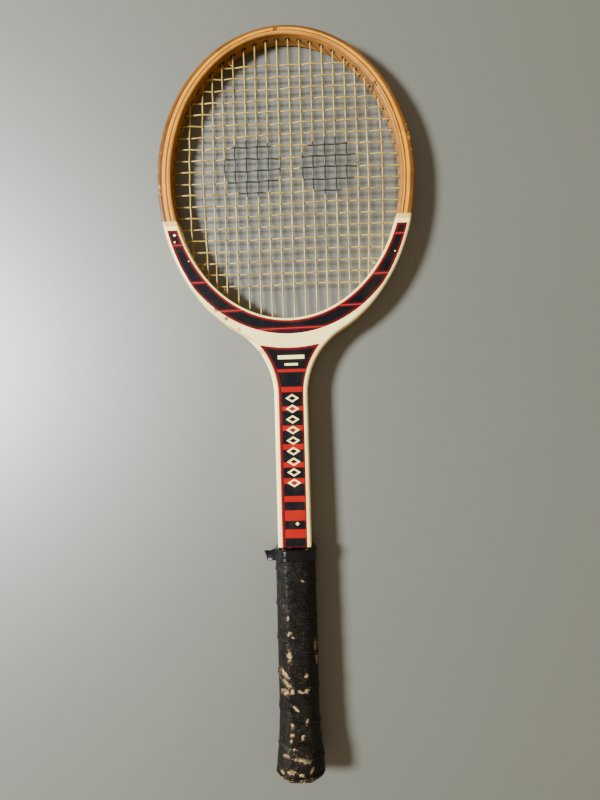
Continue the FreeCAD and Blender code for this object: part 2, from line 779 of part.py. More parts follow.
def butt_cap():
    grow = FLARE + LEATHER
    solid = handle_loft([(grow, CAP_Y), (grow, END_Y)])
    rims = [edge for edge in solid.Edges if edge.BoundBox.YMax < CAP_Y + 0.01]
    return solid.makeFillet(size("cap_round"), rims).cut(cap_tacks)


for face_name, shape in heel_flares().items():
    add_shape("heel_flare_" + face_name, shape.cut(heel_tack))
add_shape("grip_leather", grip_leather().cut([top_tack, heel_tack]))
add_shape("collar_tape", collar_tape())
add_shape("butt_cap", butt_cap())
add_shape("butt_cap_tacks", Part.makeCompound(cap_tacks))
add_shape("grip_tacks", Part.makeCompound([top_tack, heel_tack]))

# the tacks' shanks pass into the wood, so the pieces that they reach are drilled for them
for label in ("outer_ply", "ash_ply_outer", "centre_veneer", "ash_ply_inner"):
    piece = doc.getObject(label)
    pierced = piece.Shape.copy()
    pierced.Placement = FreeCAD.Placement()
    piece.Shape = pierced.cut(cap_tacks + [heel_tack])
    piece.Placement = FreeCAD.Placement(Vector(0, 0, MID), FreeCAD.Rotation())


# ---------------------------------------------------------------- strings

add_shape("main_string", string_solid("main_string", main_route(), size("string_level")))
add_shape("cross_string", string_solid("cross_string", cross_route(), -size("string_level")))
knots = []
for key, side, sign in ((("tie", "main", "low"), 1, 1), (("tie", "main", "low"), -1, 1),
                        (("tie", "cross", "top"), -1, -1), (("tie", "cross", "low"), -1, -1)):
    end, _ = tie_end(key, side)
    mouth = mirrored(holes[key][0], side)
    centre = end + (end - mouth).normalize() * size("knot_round") + Vector(0, 0, sign * size("string_level"))
    knots.append(Part.makeSphere(size("knot_round"), centre))
add_shape("tie_off_knots", Part.makeCompound(knots))


# ---------------------------------------------------------------- checks and files

doc.recompute()
for item in doc.Objects:
    if "Invalid" in item.State or "Error" in item.State:
        raise RuntimeError("failed object: " + item.Name)

whole = FreeCAD.BoundBox()
for item in doc.Objects:
    if item.TypeId not in ("Part::Feature", "PartDesign::Body"):
        continue
    if item.Shape.isNull() or not item.Shape.isValid():
        raise RuntimeError("bad shape: " + item.Label)
    whole.add(item.Shape.BoundBox)
    print(item.Label, "solids", len(item.Shape.Solids), "volume", round(item.Shape.Volume))
    item.Shape.exportStep("parts/" + item.Label + ".step")
print("whole", [round(v, 2) for v in (whole.XMin, whole.XMax, whole.YMin, whole.YMax, whole.ZMin, whole.ZMax)])
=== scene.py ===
import math
import random

import bpy
import numpy as np
from mathutils import Euler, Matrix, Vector, noise


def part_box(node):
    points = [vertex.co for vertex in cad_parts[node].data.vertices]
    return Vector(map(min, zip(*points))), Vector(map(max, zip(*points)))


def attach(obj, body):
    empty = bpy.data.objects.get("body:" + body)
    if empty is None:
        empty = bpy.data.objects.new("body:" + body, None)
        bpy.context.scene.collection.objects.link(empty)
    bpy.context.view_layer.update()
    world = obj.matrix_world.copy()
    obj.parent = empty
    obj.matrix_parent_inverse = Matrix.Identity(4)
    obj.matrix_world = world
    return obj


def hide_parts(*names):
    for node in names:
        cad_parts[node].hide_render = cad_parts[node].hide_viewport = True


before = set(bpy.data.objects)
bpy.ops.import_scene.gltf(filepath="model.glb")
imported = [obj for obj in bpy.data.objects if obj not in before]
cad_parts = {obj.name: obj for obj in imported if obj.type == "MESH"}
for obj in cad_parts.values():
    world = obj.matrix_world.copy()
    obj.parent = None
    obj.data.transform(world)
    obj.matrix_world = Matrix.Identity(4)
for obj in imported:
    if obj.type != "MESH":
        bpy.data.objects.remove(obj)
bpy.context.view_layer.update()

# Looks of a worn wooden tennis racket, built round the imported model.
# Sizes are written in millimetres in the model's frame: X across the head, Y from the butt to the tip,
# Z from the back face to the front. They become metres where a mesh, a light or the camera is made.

MM = 0.001

# ---------------------------------------------------------------- sizes

wood_low, wood_high = (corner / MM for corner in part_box("outer_ply"))
MID = (wood_low.z + wood_high.z) / 2
HALF_DEPTH = (wood_high.z - wood_low.z) / 2
HEAD_HALF_WIDTH = wood_high.x
TIP_Y = wood_high.y
HEAD_Y = 204.3                       # level of the head's widest place
SHOULDER_DROP = 154.5                # lower semi-axis of the head's outside
HOOP_HALF_WIDTH = 105.0
HOOP_HALF_LENGTH = 130.0
SHAFT_HALF_WIDTH = 15.2
THROAT_START_Y = 4.0
PAINT_TOP_Y = 161.6                  # cream paint below this level, bare varnished wood above
OVERLAY_EDGE = 3.0
DECAL_TOP_Y = 157.5
DECAL_INNER_GAP = 2.0
DECAL_OUTER_DROP = 144.3             # lower semi-axis of the band's outer edge
DECAL_HALF_WIDTH = 11.3
DECAL_SHIFT_X = 1.0
PANEL_TOP_Y = 47.3
PANEL_TOP_ROUND = 120.0

STRING_ROUND = 0.675
STRING_LEVEL = 0.72                  # height of the mains' holes above the mid plane, crosses' below it
WEAVE = 0.73                         # how far a string swings at each crossing
LOOP_INSET = 0.95
MAINS_PER_SIDE = 9
CROSSES = 20
MAIN_PITCH = 10.3
LAST_MAIN_GAP = 12.0
FIRST_CROSS_Y = 310.4
LAST_CROSS_Y = 106.8

HANDLE_HALF_WIDTH = 16.6
HANDLE_HALF_DEPTH = 14.1
BEVEL_DISTANCE = 15.74               # from the handle's axis to its slanted flats
HANDLE_TOP_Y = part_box("handle_pallet_front")[1].y / MM
HANDLE_END_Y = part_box("handle_pallet_front")[0].y / MM
BUTT_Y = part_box("butt_cap")[0].y / MM
FLARE_LEVELS = (HANDLE_END_Y, -328.0, -310.0, -292.0, -284.0)
FLARE_GROWTH = (3.6, 3.6, 1.1, 0.3, 0.0)


# ---------------------------------------------------------------- colours and shader fields

def paint(red, green, blue):
    """Linear colour from 0-255 screen values."""
    channels = []
    for value in (red, green, blue):
        share = value / 255
        channels.append(share / 12.92 if share <= 0.04045 else ((share + 0.055) / 1.055) ** 2.4)
    return (*channels, 1.0)


def feed(node, values):
    """Give a node's inputs their values: a field or a socket is linked, a plain value is set."""
    for name, value in values.items():
        if isinstance(value, Field):
            value = value.socket
        if isinstance(value, bpy.types.NodeSocket):
            node.id_data.links.new(value, node.inputs[name])
        else:
            node.inputs[name].default_value = value


class Field:
    """A number or a colour worked out at each point of a surface. Arithmetic on it adds shader nodes."""

    def __init__(self, tree, socket):
        self.tree = tree
        self.socket = socket

    def math(self, operation, *others):
        node = self.tree.nodes.new("ShaderNodeMath")
        node.operation = operation
        feed(node, dict(enumerate((self, *others))))
        return Field(self.tree, node.outputs[0])

    def __add__(self, other):
        return self.math("ADD", other)

    def __sub__(self, other):
        return self.math("SUBTRACT", other)

    def __mul__(self, other):
        return self.math("MULTIPLY", other)

    def __truediv__(self, other):
        return self.math("DIVIDE", other)

    def __rsub__(self, other):
        return self.math("MULTIPLY", -1.0).math("ADD", other)

    def __abs__(self):
        return self.math("ABSOLUTE")

    __radd__ = __add__
    __rmul__ = __mul__

    def root(self):
        return self.math("SQRT")

    def least(self, other):
        return self.math("MINIMUM", other)

    def most(self, other):
        return self.math("MAXIMUM", other)

    def step(self, low, high):
        """Rises smoothly from 0 at low to 1 at high, or falls if low is the larger."""
        node = self.tree.nodes.new("ShaderNodeMapRange")
        node.interpolation_type = "SMOOTHSTEP"
        feed(node, {"Value": self, "From Min": low, "From Max": high})
        return Field(self.tree, node.outputs["Result"])

    def band(self, low, high, soft=0.15):
        """1 between two values, with soft edges."""
        return self.step(low - soft, low + soft) * self.step(high + soft, high - soft)


def distance(across, along):
    """How far away a place is whose two parts are given."""
    return (across * across + along * along).root()


class Surface:
    """One material, with its place on the object in millimetres as fields x, y and z."""

    def __init__(self, name, roughness=0.5, specular=None):
        self.material = bpy.data.materials.new(name)
        self.material.use_nodes = True
        self.tree = self.material.node_tree
        self.shader = self.tree.nodes["Principled BSDF"]
        feed(self.shader, {"Roughness": roughness})
        if specular is not None:
            feed(self.shader, {"Specular IOR Level": specular})
        place = self.tree.nodes.new("ShaderNodeTexCoord")
        scale = self.tree.nodes.new("ShaderNodeVectorMath")
        scale.operation = "SCALE"
        feed(scale, {0: place.outputs["Object"], "Scale": 1 / MM})
        self.place = scale.outputs[0]
        parts = self.tree.nodes.new("ShaderNodeSeparateXYZ")
        feed(parts, {0: self.place})
        self.x, self.y, self.z = (Field(self.tree, socket) for socket in parts.outputs)

    def vector(self, x, y, z):
        node = self.tree.nodes.new("ShaderNodeCombineXYZ")
        feed(node, {0: x, 1: y, 2: z})
        return node.outputs[0]

    def noise(self, scale, detail=3.0, roughness=0.55, vector=None, distortion=0.0):
        node = self.tree.nodes.new("ShaderNodeTexNoise")
        feed(node, {"Vector": vector or self.place, "Scale": scale, "Detail": detail,
                    "Roughness": roughness, "Distortion": distortion})
        return Field(self.tree, node.outputs["Fac"])

    def cells(self, scale):
        """Distance to the nearest of many scattered points."""
        node = self.tree.nodes.new("ShaderNodeTexVoronoi")
        feed(node, {"Vector": self.place, "Scale": scale})
        return Field(self.tree, node.outputs["Distance"])

    def attribute(self, name):
        node = self.tree.nodes.new("ShaderNodeAttribute")
        node.attribute_name = name
        return Field(self.tree, node.outputs["Fac"])

    def mix(self, share, first, second):
        """Colour that goes from first to second; each is a colour or a field of colour."""
        node = self.tree.nodes.new("ShaderNodeMix")
        node.data_type = "RGBA"
        feed(node, {0: share, 6: first, 7: second})
        return Field(self.tree, node.outputs[2])

    def finish(self, colour, roughness=None, height=None, relief=0.1):
        """Link the colour, the roughness and a bump whose height is in millimetres."""
        feed(self.shader, {"Base Color": colour})
        if roughness is not None:
            feed(self.shader, {"Roughness": roughness})
        if height is not None:
            bump = self.tree.nodes.new("ShaderNodeBump")
            feed(bump, {"Distance": relief * MM, "Height": height})
            feed(self.shader, {"Normal": bump.outputs[0]})
        return self.material

    def coat(self, weight, roughness):
        feed(self.shader, {"Coat Weight": weight, "Coat Roughness": roughness})

    def ellipse_gap(self, half_width, half_length):
        """Distance outside an ellipse about the head's centre, negative inside."""
        along = self.y - HEAD_Y
        p, q = self.x / half_width, along / half_length
        level = distance(p, q).most(0.001)
        slope = distance(p / half_width, q / half_length).most(0.00001)
        return (level - 1.0) * level / slope

    def spots(self, places):
        """1 inside each of a few round spots, given as x, y and radius, with ragged rims."""
        rough = (self.noise(0.9, 3.0, 0.7) - 0.5) * 2.4
        total = None
        for x, y, size in places:
            across, along = self.x - x, self.y - y
            share = distance(across, along) / size + rough
            spot = share.step(1.1, 0.9)
            total = spot if total is None else total.most(spot)
        return total


# ---------------------------------------------------------------- wood, paint and decals

CREAM = paint(255, 236, 158)
CREAM_AGED = paint(240, 204, 124)
GRIME = paint(84, 60, 34)
CRIMSON = paint(78, 5, 9)
BRIGHT_RED = paint(146, 9, 8)
PINK_RED = paint(158, 36, 42)
NAVY = paint(5, 7, 15)
BARE_WOOD = paint(104, 66, 28)
WOOD_SCARS = ((-6.6, 338.4, 1.5), (-4.6, 338.9, 1.0), (83.4, 285.4, 1.7), (85.0, 283.0, 1.1),
              (110.6, 240.0, 1.0))
PAINT_CHIPS = ((-102.8, 153.0, 1.1), (-102.8, 146.6, 0.8), (-90.2, 128.8, 0.6), (97.6, 132.0, 0.6))
EDGE_CHIPS = ((-78.0, 98.5, 2.2), (-65.6, 84.8, 2.8), (-46.4, 63.6, 2.4), (-57.0, 75.2, 1.6),
              (-26.4, 43.6, 2.2), (-86.5, 108.0, 1.4), (-101.0, 137.0, 1.2), (16.4, -60.0, 1.2))


def cream_paint(surface):
    """Old cream paint: yellowed unevenly, with grime specks and hairline scuffs."""
    yellowing = surface.noise(0.035, 3.0).step(0.35, 0.75)
    colour = surface.mix(yellowing * 0.55, CREAM, CREAM_AGED)
    scuffs = surface.noise(1.0, 4.0, 0.7, surface.vector(surface.x * 0.35, surface.y * 1.6, surface.z))
    colour = surface.mix(scuffs.step(0.64, 0.78) * 0.35, colour, GRIME)
    specks = surface.cells(0.33).step(0.10, 0.05) * surface.noise(0.2, 2.0).step(0.5, 0.62)
    return surface.mix(specks * 0.7, colour, GRIME)


def worn_edges(surface, outer_gap):
    """Where paint is rubbed or knocked off: along the outer rim, most on the left shoulder."""
    rim = outer_gap.step(2.6, 0.4)
    flaked = surface.noise(0.38, 5.0, 0.7).step(0.46, 0.50) * rim.step(0.10, 0.4)
    left = surface.x.step(-20.0, -40.0) * 0.9 + 0.1
    return (flaked * left).most(surface.spots(EDGE_CHIPS))


def outer_gap_field(surface):
    """Distance from the shoulders' outer ellipse, close to the real edge along the head's sides too."""
    return abs(surface.ellipse_gap(HEAD_HALF_WIDTH, SHOULDER_DROP))


def hole_shade_and_grime(surface):
    """Painted shade with some grime: dark rings round the drilled mouths, the mains' holes towards the tip,
    the crosses' holes along the sides.
    """
    turn = (abs(surface.x) / MAIN_PITCH).math("FRACT")
    beside = (turn - 0.5) * MAIN_PITCH
    above = surface.z - (MID + STRING_LEVEL)
    mains = distance(beside, above)
    cross_pitch = (FIRST_CROSS_Y - LAST_CROSS_Y) / (CROSSES - 1)
    turn = ((surface.y - LAST_CROSS_Y) / cross_pitch + 0.5).math("FRACT")
    beside = (turn - 0.5) * cross_pitch
    below = surface.z - (MID - STRING_LEVEL)
    crosses = distance(beside, below)
    ragged = (surface.noise(0.9, 3.0) - 0.5) * 1.6
    near_tip = surface.y.step(296.0, 300.0)
    beside_head = 1.0 - near_tip
    return ((mains + ragged).step(3.0, 2.0) * near_tip).most((crosses + ragged).step(2.8, 1.9) * beside_head)


def wood(name, light, dark, vein, contrast=1.0, rim_tone=None, gloss=0.38, drilled=False):
    """Bent ash or beech under old varnish, its grain following the hoop, painted cream below a line."""
    surface = Surface(name, gloss, 0.3)
    surface.coat(0.05 if drilled else 0.32, 0.18)
    along_y = surface.y - HEAD_Y
    angle = surface.x.math("ARCTAN2", along_y) * 125.0
    out = surface.ellipse_gap(HOOP_HALF_WIDTH, HOOP_HALF_LENGTH)
    flow = surface.vector(angle * 0.03, out, surface.z)
    figure = surface.noise(0.55, 5.0, 0.62, flow, 0.4).step(0.30, 0.70)
    colour = surface.mix(figure * contrast, light, dark)
    veins = surface.noise(2.1, 3.0, 0.6, surface.vector(angle * 0.05, out, surface.z)).step(0.56, 0.72)
    colour = surface.mix(veins * 0.55, colour, vein)
    pores = surface.noise(5.0, 1.0, 0.5, surface.vector(angle * 0.09, out, surface.z)).step(0.66, 0.74)
    colour = surface.mix(pores * 0.5, colour, GRIME)
    blotch = surface.noise(0.045, 3.0, 0.6).step(0.48, 0.72)
    colour = surface.mix(blotch * 0.38, colour, vein)
    if rim_tone is not None:
        rim = outer_gap_field(surface)
        head = surface.y.step(PAINT_TOP_Y, PAINT_TOP_Y + 8.0)
        knocks = surface.noise(0.16, 5.0, 0.7).step(0.56, 0.66) * rim.step(5.0, 1.0) * head
        colour = surface.mix(knocks * 0.8, colour, rim_tone)
        scratches = surface.noise(0.9, 3.0, 0.6, surface.vector(angle * 0.2, out * 1.5, surface.z * 0.5))
        colour = surface.mix(scratches.step(0.63, 0.70) * head * 0.7, colour, BARE_WOOD)
    colour = surface.mix(surface.spots(WOOD_SCARS) * 0.85, colour, paint(26, 14, 6))
    # painted shade with some grime: dark rings round the holes' mouths
    if drilled:
        colour = surface.mix(hole_shade_and_grime(surface) * 0.9, colour, paint(30, 15, 7))
    wobble = (surface.noise(0.25, 2.0) - 0.5) * 1.6
    level = surface.y + wobble
    filler = level.step(PAINT_TOP_Y + 4.6, PAINT_TOP_Y + 3.8)
    colour = surface.mix(filler * 0.62, colour, CREAM_AGED)
    painted = level.step(PAINT_TOP_Y + 0.4, PAINT_TOP_Y - 0.4)
    if rim_tone is not None:
        painted = painted * (1.0 - worn_edges(surface, outer_gap_field(surface)) * 0.85)
    colour = surface.mix(painted, colour, cream_paint(surface))
    height = (veins * 0.5 + pores * 0.5) * (1.0 - painted) * -1.0 + painted * 0.9
    dull = (surface.noise(0.3, 4.0, 0.6) - 0.5) * 0.3 + gloss
    return surface.finish(colour, dull, height, 0.12)


def chipped_paint(name):
    """The fibre sheets of the shoulders and shaft, painted cream, with chips down to the wood."""
    surface = Surface(name, 0.36)
    surface.coat(0.35, 0.2)
    gap = outer_gap_field(surface)
    worn = surface.noise(0.5, 5.0, 0.7).step(0.66, 0.69) * gap.step(6.0, 3.0)
    worn = (worn * surface.x.step(20.0, -50.0)).most(surface.spots(EDGE_CHIPS))
    colour = surface.mix(worn * 0.9, cream_paint(surface), BARE_WOOD)
    height = 1.0 - worn
    dull = (surface.noise(0.3, 4.0, 0.6) - 0.5) * 0.25 + 0.36
    return surface.finish(colour, dull, height, 0.18)


def decal_wear(surface, colour):
    """Hair cracks, rubbed specks and a little fading, the same on every printed film."""
    rubbed = surface.noise(0.9, 5.0, 0.72).step(0.755, 0.775)
    colour = surface.mix(rubbed * 0.6, colour, CREAM)
    scratches = surface.noise(1.3, 2.0, 0.5, surface.vector(surface.x * 0.12, surface.y, surface.z))
    colour = surface.mix(scratches.step(0.74, 0.8) * 0.08, colour, CREAM_AGED)
    faded = surface.noise(0.06, 3.0).step(0.4, 0.8) * 0.012
    return surface.mix(faded, colour, CREAM_AGED), rubbed


BAND_BARS = (145.8, 110.6, 83.4, 64.9)


def throat_band(name):
    """Printed band round the throat: a red outline, dark blue fields and thin, nearly level bars."""
    surface = Surface(name, 0.32, 0.2)
    surface.coat(0.07, 0.15)
    inner = surface.ellipse_gap(HOOP_HALF_WIDTH + DECAL_INNER_GAP, HOOP_HALF_LENGTH + DECAL_INNER_GAP)
    outer = surface.ellipse_gap(HEAD_HALF_WIDTH + 2.0, DECAL_OUTER_DROP) * -1.0
    side = surface.ellipse_gap(HEAD_HALF_WIDTH - OVERLAY_EDGE, SHOULDER_DROP - OVERLAY_EDGE) * -1.0
    border = outer.least(side).least(DECAL_TOP_Y - surface.y)
    edge_line = border.step(2.3, 1.9)
    inner_line = inner.step(2.4, 2.0)
    colour = surface.mix(edge_line, NAVY, CRIMSON)
    colour = surface.mix(inner_line, colour, CRIMSON)
    colour = surface.mix(inner.step(1.4, 0.7) * 0.6, colour, BRIGHT_RED)
    slant = surface.y - surface.x * 0.021
    for bar in BAND_BARS:
        colour = surface.mix(slant.band(bar - 1.6, bar + 1.6, 0.3), colour, CRIMSON)
        colour = surface.mix(slant.band(bar - 0.45, bar + 0.45, 0.2), colour, PINK_RED)
    colour = surface.mix(slant.step(63.4, 62.6) * inner.step(2.0, 2.6), colour, paint(44, 8, 16))
    colour, rubbed = decal_wear(surface, colour)
    chips = surface.spots(PAINT_CHIPS)
    colour = surface.mix(chips, colour, CREAM)
    return surface.finish(colour, None, 1.0 - rubbed.most(chips), 0.08)


STRIP_BARS = ((27.7, 25.0), (11.6, 6.8), (-6.1, -10.2), (-23.5, -28.2), (-40.4, -45.4), (-56.8, -61.6),
              (-71.3, -76.4), (-87.4, -92.7), (-100.4, -109.8), (-117.5, -125.5))
MOTIF_TOP_Y = 6.0
MOTIF_PITCH = 9.6
MOTIFS = 9


def shaft_strip(name, throat_round):
    """Printed panel and strip down the shaft: red frame, dark blue blocks, red bars, plain cream shapes."""
    surface = Surface(name, 0.32, 0.2)
    surface.coat(0.07, 0.15)
    x = surface.x - DECAL_SHIFT_X
    half = DECAL_HALF_WIDTH
    throat_x = SHAFT_HALF_WIDTH + throat_round
    across, above = throat_x - abs(x), surface.y - THROAT_START_Y
    flared = distance(across, above) - (throat_x - half)
    straight = half - abs(x)
    above_start = surface.y.step(THROAT_START_Y - 0.5, THROAT_START_Y + 0.5)
    side = flared * above_start + straight * (1.0 - above_start)
    crown = surface.y - (PANEL_TOP_Y + PANEL_TOP_ROUND)
    top = distance(x, crown) - PANEL_TOP_ROUND
    frame_line = (side + x * -0.03).least(top)
    colour = surface.mix(frame_line.step(2.5, 2.1), NAVY, CRIMSON)
    for high, low in STRIP_BARS:
        share = surface.y.band(low, high, 0.25) * side.step(1.5, 2.2)
        colour = surface.mix(share, colour, BRIGHT_RED)
    colour = surface.mix(surface.y.step(-132.8, -133.4), colour, CRIMSON)
    colour = surface.mix(frame_line.step(0.9, 0.4) * 0.5, colour, PINK_RED)
    turn = (MOTIF_TOP_Y - surface.y) / MOTIF_PITCH
    local = (turn.math("FRACT") - 0.5) * MOTIF_PITCH
    size = abs(x * 0.62) + abs(local)
    shapes = size.band(2.25, 3.75, 0.18)
    shapes = shapes * surface.y.band(MOTIF_TOP_Y - MOTIF_PITCH * MOTIFS, MOTIF_TOP_Y, 0.05)
    upper_bar = abs(surface.y - 38.6).step(1.9, 1.5) * abs(x).step(12.2, 11.8)
    lower_bar = abs(surface.y - 32.0).step(1.2, 0.8) * abs(x).step(6.2, 5.8)
    dot = (abs(x - 1.9) + abs(surface.y + 112.6)).step(1.9, 1.5)
    printed = shapes.most(upper_bar).most(lower_bar).most(dot)
    colour = surface.mix(printed, colour, CREAM)
    colour, rubbed = decal_wear(surface, colour)
    return surface.finish(colour, None, 1.0 - rubbed, 0.08)


def raw_wood(name):
    """Pale unvarnished wood inside the handle, straight grain along Y."""
    surface = Surface(name, 0.7)
    grain = surface.noise(0.9, 4.0, 0.6, surface.vector(surface.x, surface.y * 0.03, surface.z))
    colour = surface.mix(grain.step(0.3, 0.7), paint(206, 160, 104), paint(164, 112, 62))
    colour = surface.mix(surface.y.step(HANDLE_TOP_Y - 3.0, HANDLE_TOP_Y - 1.5), colour, paint(14, 12, 11))
    return surface.finish(colour, None, grain, 0.1)


def aged_steel(name):
    surface = Surface(name, 0.35)
    feed(surface.shader, {"Metallic": 0.9})
    rust = surface.noise(1.4, 4.0, 0.65).step(0.5, 0.66)
    colour = surface.mix(rust, paint(168, 164, 156), paint(104, 66, 40))
    return surface.finish(colour, rust * 0.4 + 0.3, rust, 0.05)


# ---------------------------------------------------------------- meshes

def signed_volume(points, faces):
    """Volume inside a closed mesh, negative where its faces look inwards."""
    total = 0.0
    for face in faces:
        first = points[face[0]]
        for second, third in zip(face[1:], face[2:]):
            total += float(np.dot(first, np.cross(points[second], points[third])))
    return total / 6


def add_mesh(name, points, faces, nodes, material, attributes=None):
    """A piece from points in millimetres, which stands for the given CAD nodes."""
    points = np.asarray(points, float)
    used = sorted({index for face in faces for index in face})
    new_place = {old: new for new, old in enumerate(used)}
    faces = [[new_place[index] for index in face] for face in faces]
    points = points[used]
    if signed_volume(points, faces) < 0:
        faces = [face[::-1] for face in faces]
    mesh = bpy.data.meshes.new(name)
    mesh.from_pydata([tuple(point) for point in points * MM], [], faces)
    mesh.validate()
    mesh.shade_smooth()
    for label, values in (attributes or {}).items():
        layer = mesh.attributes.new(label, "FLOAT", "POINT")
        layer.data.foreach_set("value", np.asarray(values, np.float32)[used])
    piece = bpy.data.objects.new(name, mesh)
    bpy.context.scene.collection.objects.link(piece)
    mesh.materials.append(material)
    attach(piece, "root")
    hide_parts(*nodes)
    return piece


def tube_rows(rows, closed_ends=True):
    """Faces that join rings of points into a tube, capped at both ends."""
    count, around = rows
    faces = []
    for row in range(count - 1):
        for place in range(around):
            after = (place + 1) % around
            faces.append((row * around + place, row * around + after,
                          (row + 1) * around + after, (row + 1) * around + place))
    if closed_ends:
        faces.append(tuple(reversed(range(around))))
        faces.append(tuple(range((count - 1) * around, count * around)))
    return faces


def resample(points, spacing):
    """Points evenly spaced along a broken line."""
    points = np.asarray(points, float)
    lengths = np.concatenate(([0.0], np.cumsum(np.linalg.norm(np.diff(points, axis=0), axis=1))))
    count = int(lengths[-1] / spacing) + 1
    places = np.linspace(0.0, lengths[-1], count)
    return np.stack([np.interp(places, lengths, points[:, axis]) for axis in range(3)], axis=1)


def softened(points, reach):
    """The same line with its corners eased over a few neighbours; its ends barely move."""
    offsets = np.arange(-reach, reach + 1)
    weights = np.exp(-0.5 * (offsets / (reach / 2.2)) ** 2)
    weights /= weights.sum()
    padded = np.concatenate([np.repeat(points[:1], reach, 0), points, np.repeat(points[-1:], reach, 0)])
    return np.stack([np.convolve(padded[:, axis], weights, "valid") for axis in range(3)], axis=1)


def tube(path, radius, around):
    """Rings of points along a path that never runs straight up."""
    ahead = np.gradient(path, axis=0)
    ahead /= np.linalg.norm(ahead, axis=1, keepdims=True)
    side = np.cross(np.array([0.0, 0.0, 1.0]), ahead)
    side /= np.linalg.norm(side, axis=1, keepdims=True)
    up = np.cross(ahead, side)
    turns = np.linspace(0.0, 2 * math.pi, around, endpoint=False)
    spokes = np.cos(turns)[None, :, None] * side[:, None, :] + np.sin(turns)[None, :, None] * up[:, None, :]
    return (path[:, None, :] + np.asarray(radius) * spokes).reshape(-1, 3)


# ---------------------------------------------------------------- strings

class Outline:
    """Half of the frame's outside, moved in evenly, worked out as in the CAD model."""

    def __init__(self, inset):
        self.half_width = HEAD_HALF_WIDTH - inset
        self.upper = TIP_Y - HEAD_Y - inset
        self.lower = SHOULDER_DROP - inset
        self.shaft_x = SHAFT_HALF_WIDTH - inset
        small, large = 5.0, 400.0
        for _ in range(60):
            self.round = (small + large) / 2
            if self.gap_to_shoulder()[0] > self.round:
                small = self.round
            else:
                large = self.round
        self.angle = self.gap_to_shoulder()[1]

    def shoulder(self, angle):
        return Vector((self.half_width * math.sin(angle), HEAD_Y + self.lower * math.cos(angle)))

    def gap_to_shoulder(self):
        centre = Vector((self.shaft_x + self.round, THROAT_START_Y))
        low, high = math.pi / 2, math.pi
        for _ in range(80):
            third = (high - low) / 3
            if (self.shoulder(low + third) - centre).length < (self.shoulder(high - third) - centre).length:
                high -= third
            else:
                low += third
        return (self.shoulder(low) - centre).length, low

    def throat_x(self, y):
        return self.shaft_x + self.round - math.sqrt(self.round ** 2 - (y - THROAT_START_Y) ** 2)

    def holds(self, point):
        x, y = abs(point.x), point.y - HEAD_Y
        if y > 0:
            return (x / self.half_width) ** 2 + (y / self.upper) ** 2 < 1
        if point.y > self.shoulder(self.angle).y:
            return (x / self.half_width) ** 2 + (y / self.lower) ** 2 < 1
        if point.y > THROAT_START_Y:
            return x < self.throat_x(point.y)
        return x < self.shaft_x

    def reach(self, start, direction):
        """Where a line from inside crosses the outline."""
        near, far = 0.0, 200.0
        for _ in range(50):
            middle = (near + far) / 2
            if self.holds(start + direction * middle):
                near = middle
            else:
                far = middle
        return start + direction * near


HEAD_CENTRE = Vector((0.0, HEAD_Y))
outside = Outline(0.0)
loop_line = Outline(LOOP_INSET)


def on_hoop(angle):
    """Point of the head's inside and its outward normal; the angle runs clockwise from the tip."""
    point = Vector((HOOP_HALF_WIDTH * math.sin(angle), HEAD_Y + HOOP_HALF_LENGTH * math.cos(angle)))
    return point, Vector((math.sin(angle) / HOOP_HALF_WIDTH, math.cos(angle) / HOOP_HALF_LENGTH)).normalized()


def angle_at_x(x, upper):
    angle = math.asin(x / HOOP_HALF_WIDTH)
    return angle if upper else math.pi - angle


def angle_at_y(y):
    return math.acos((y - HEAD_Y) / HOOP_HALF_LENGTH)


def main_x(number, upper):
    """A main's distance from the axis where it meets the hoop."""
    x = MAIN_PITCH * (number - 0.5)
    if number == MAINS_PER_SIDE:
        x += LAST_MAIN_GAP - MAIN_PITCH - 2.0
    lean = {7: 1.0, 8: 2.3 if upper else 3.4}
    return x - lean.get(number, 0)


def cross_y(number):
    return FIRST_CROSS_Y - (FIRST_CROSS_Y - LAST_CROSS_Y) / (CROSSES - 1) * (number - 1)


def lower_exits():
    """Exits of the holes round the throat, spaced evenly outside, in the order of their mouths."""
    order = [("main", n) for n in range(1, 7)] + [("tie", "cross"), ("main", 7), ("cross", 20), ("main", 8)]
    order += [("cross", 19), ("tie", "main"), ("cross", 18), ("main", 9), ("cross", 17), ("cross", 16)]
    first = Vector((loop_line.throat_x(54.0), 54.0))
    last = loop_line.reach(*on_hoop(angle_at_y(cross_y(16))))
    steps = 400
    line = []
    for step in range(steps + 1):
        along = first.lerp(last, step / steps)
        line.append(loop_line.reach(HEAD_CENTRE, (along - HEAD_CENTRE).normalized()))
    lengths = [0.0]
    for before, after in zip(line, line[1:]):
        lengths.append(lengths[-1] + (after - before).length)
    exits = {}
    for place, key in enumerate(order):
        wanted = lengths[-1] * place / (len(order) - 1)
        exits[key] = line[min(range(len(line)), key=lambda i: abs(lengths[i] - wanted))]
    return exits


def make_holes():
    """Every hole as mouth and exit on the right side of the head, keyed by what goes through it."""
    mouths = {}
    for number in range(1, MAINS_PER_SIDE + 1):
        mouths["main", number, "top"] = angle_at_x(main_x(number, True), True)
        mouths["main", number, "low"] = angle_at_x(main_x(number, False), False)
    for number in range(1, CROSSES + 1):
        mouths["cross", number, "side"] = angle_at_y(cross_y(number))
    mouths["tie", "cross", "top"] = angle_at_x((main_x(5, True) + main_x(6, True)) / 2, True)
    mouths["tie", "cross", "low"] = angle_at_x((main_x(6, False) + main_x(7, False)) / 2, False)
    mouths["tie", "main", "low"] = (angle_at_y(cross_y(18)) + angle_at_y(cross_y(19))) / 2
    exits = lower_exits()
    found = {}
    for (kind, name, place), angle in mouths.items():
        mouth, normal = on_hoop(angle)
        leave = loop_line.reach(mouth, normal)
        if place != "top" and (kind, name) in exits:
            leave = exits[kind, name]
        found[kind, name, place] = (mouth, leave)
    return found


holes = make_holes()


def level_of(key):
    return STRING_LEVEL if key[0] == "main" or key[:2] == ("tie", "main") else -STRING_LEVEL


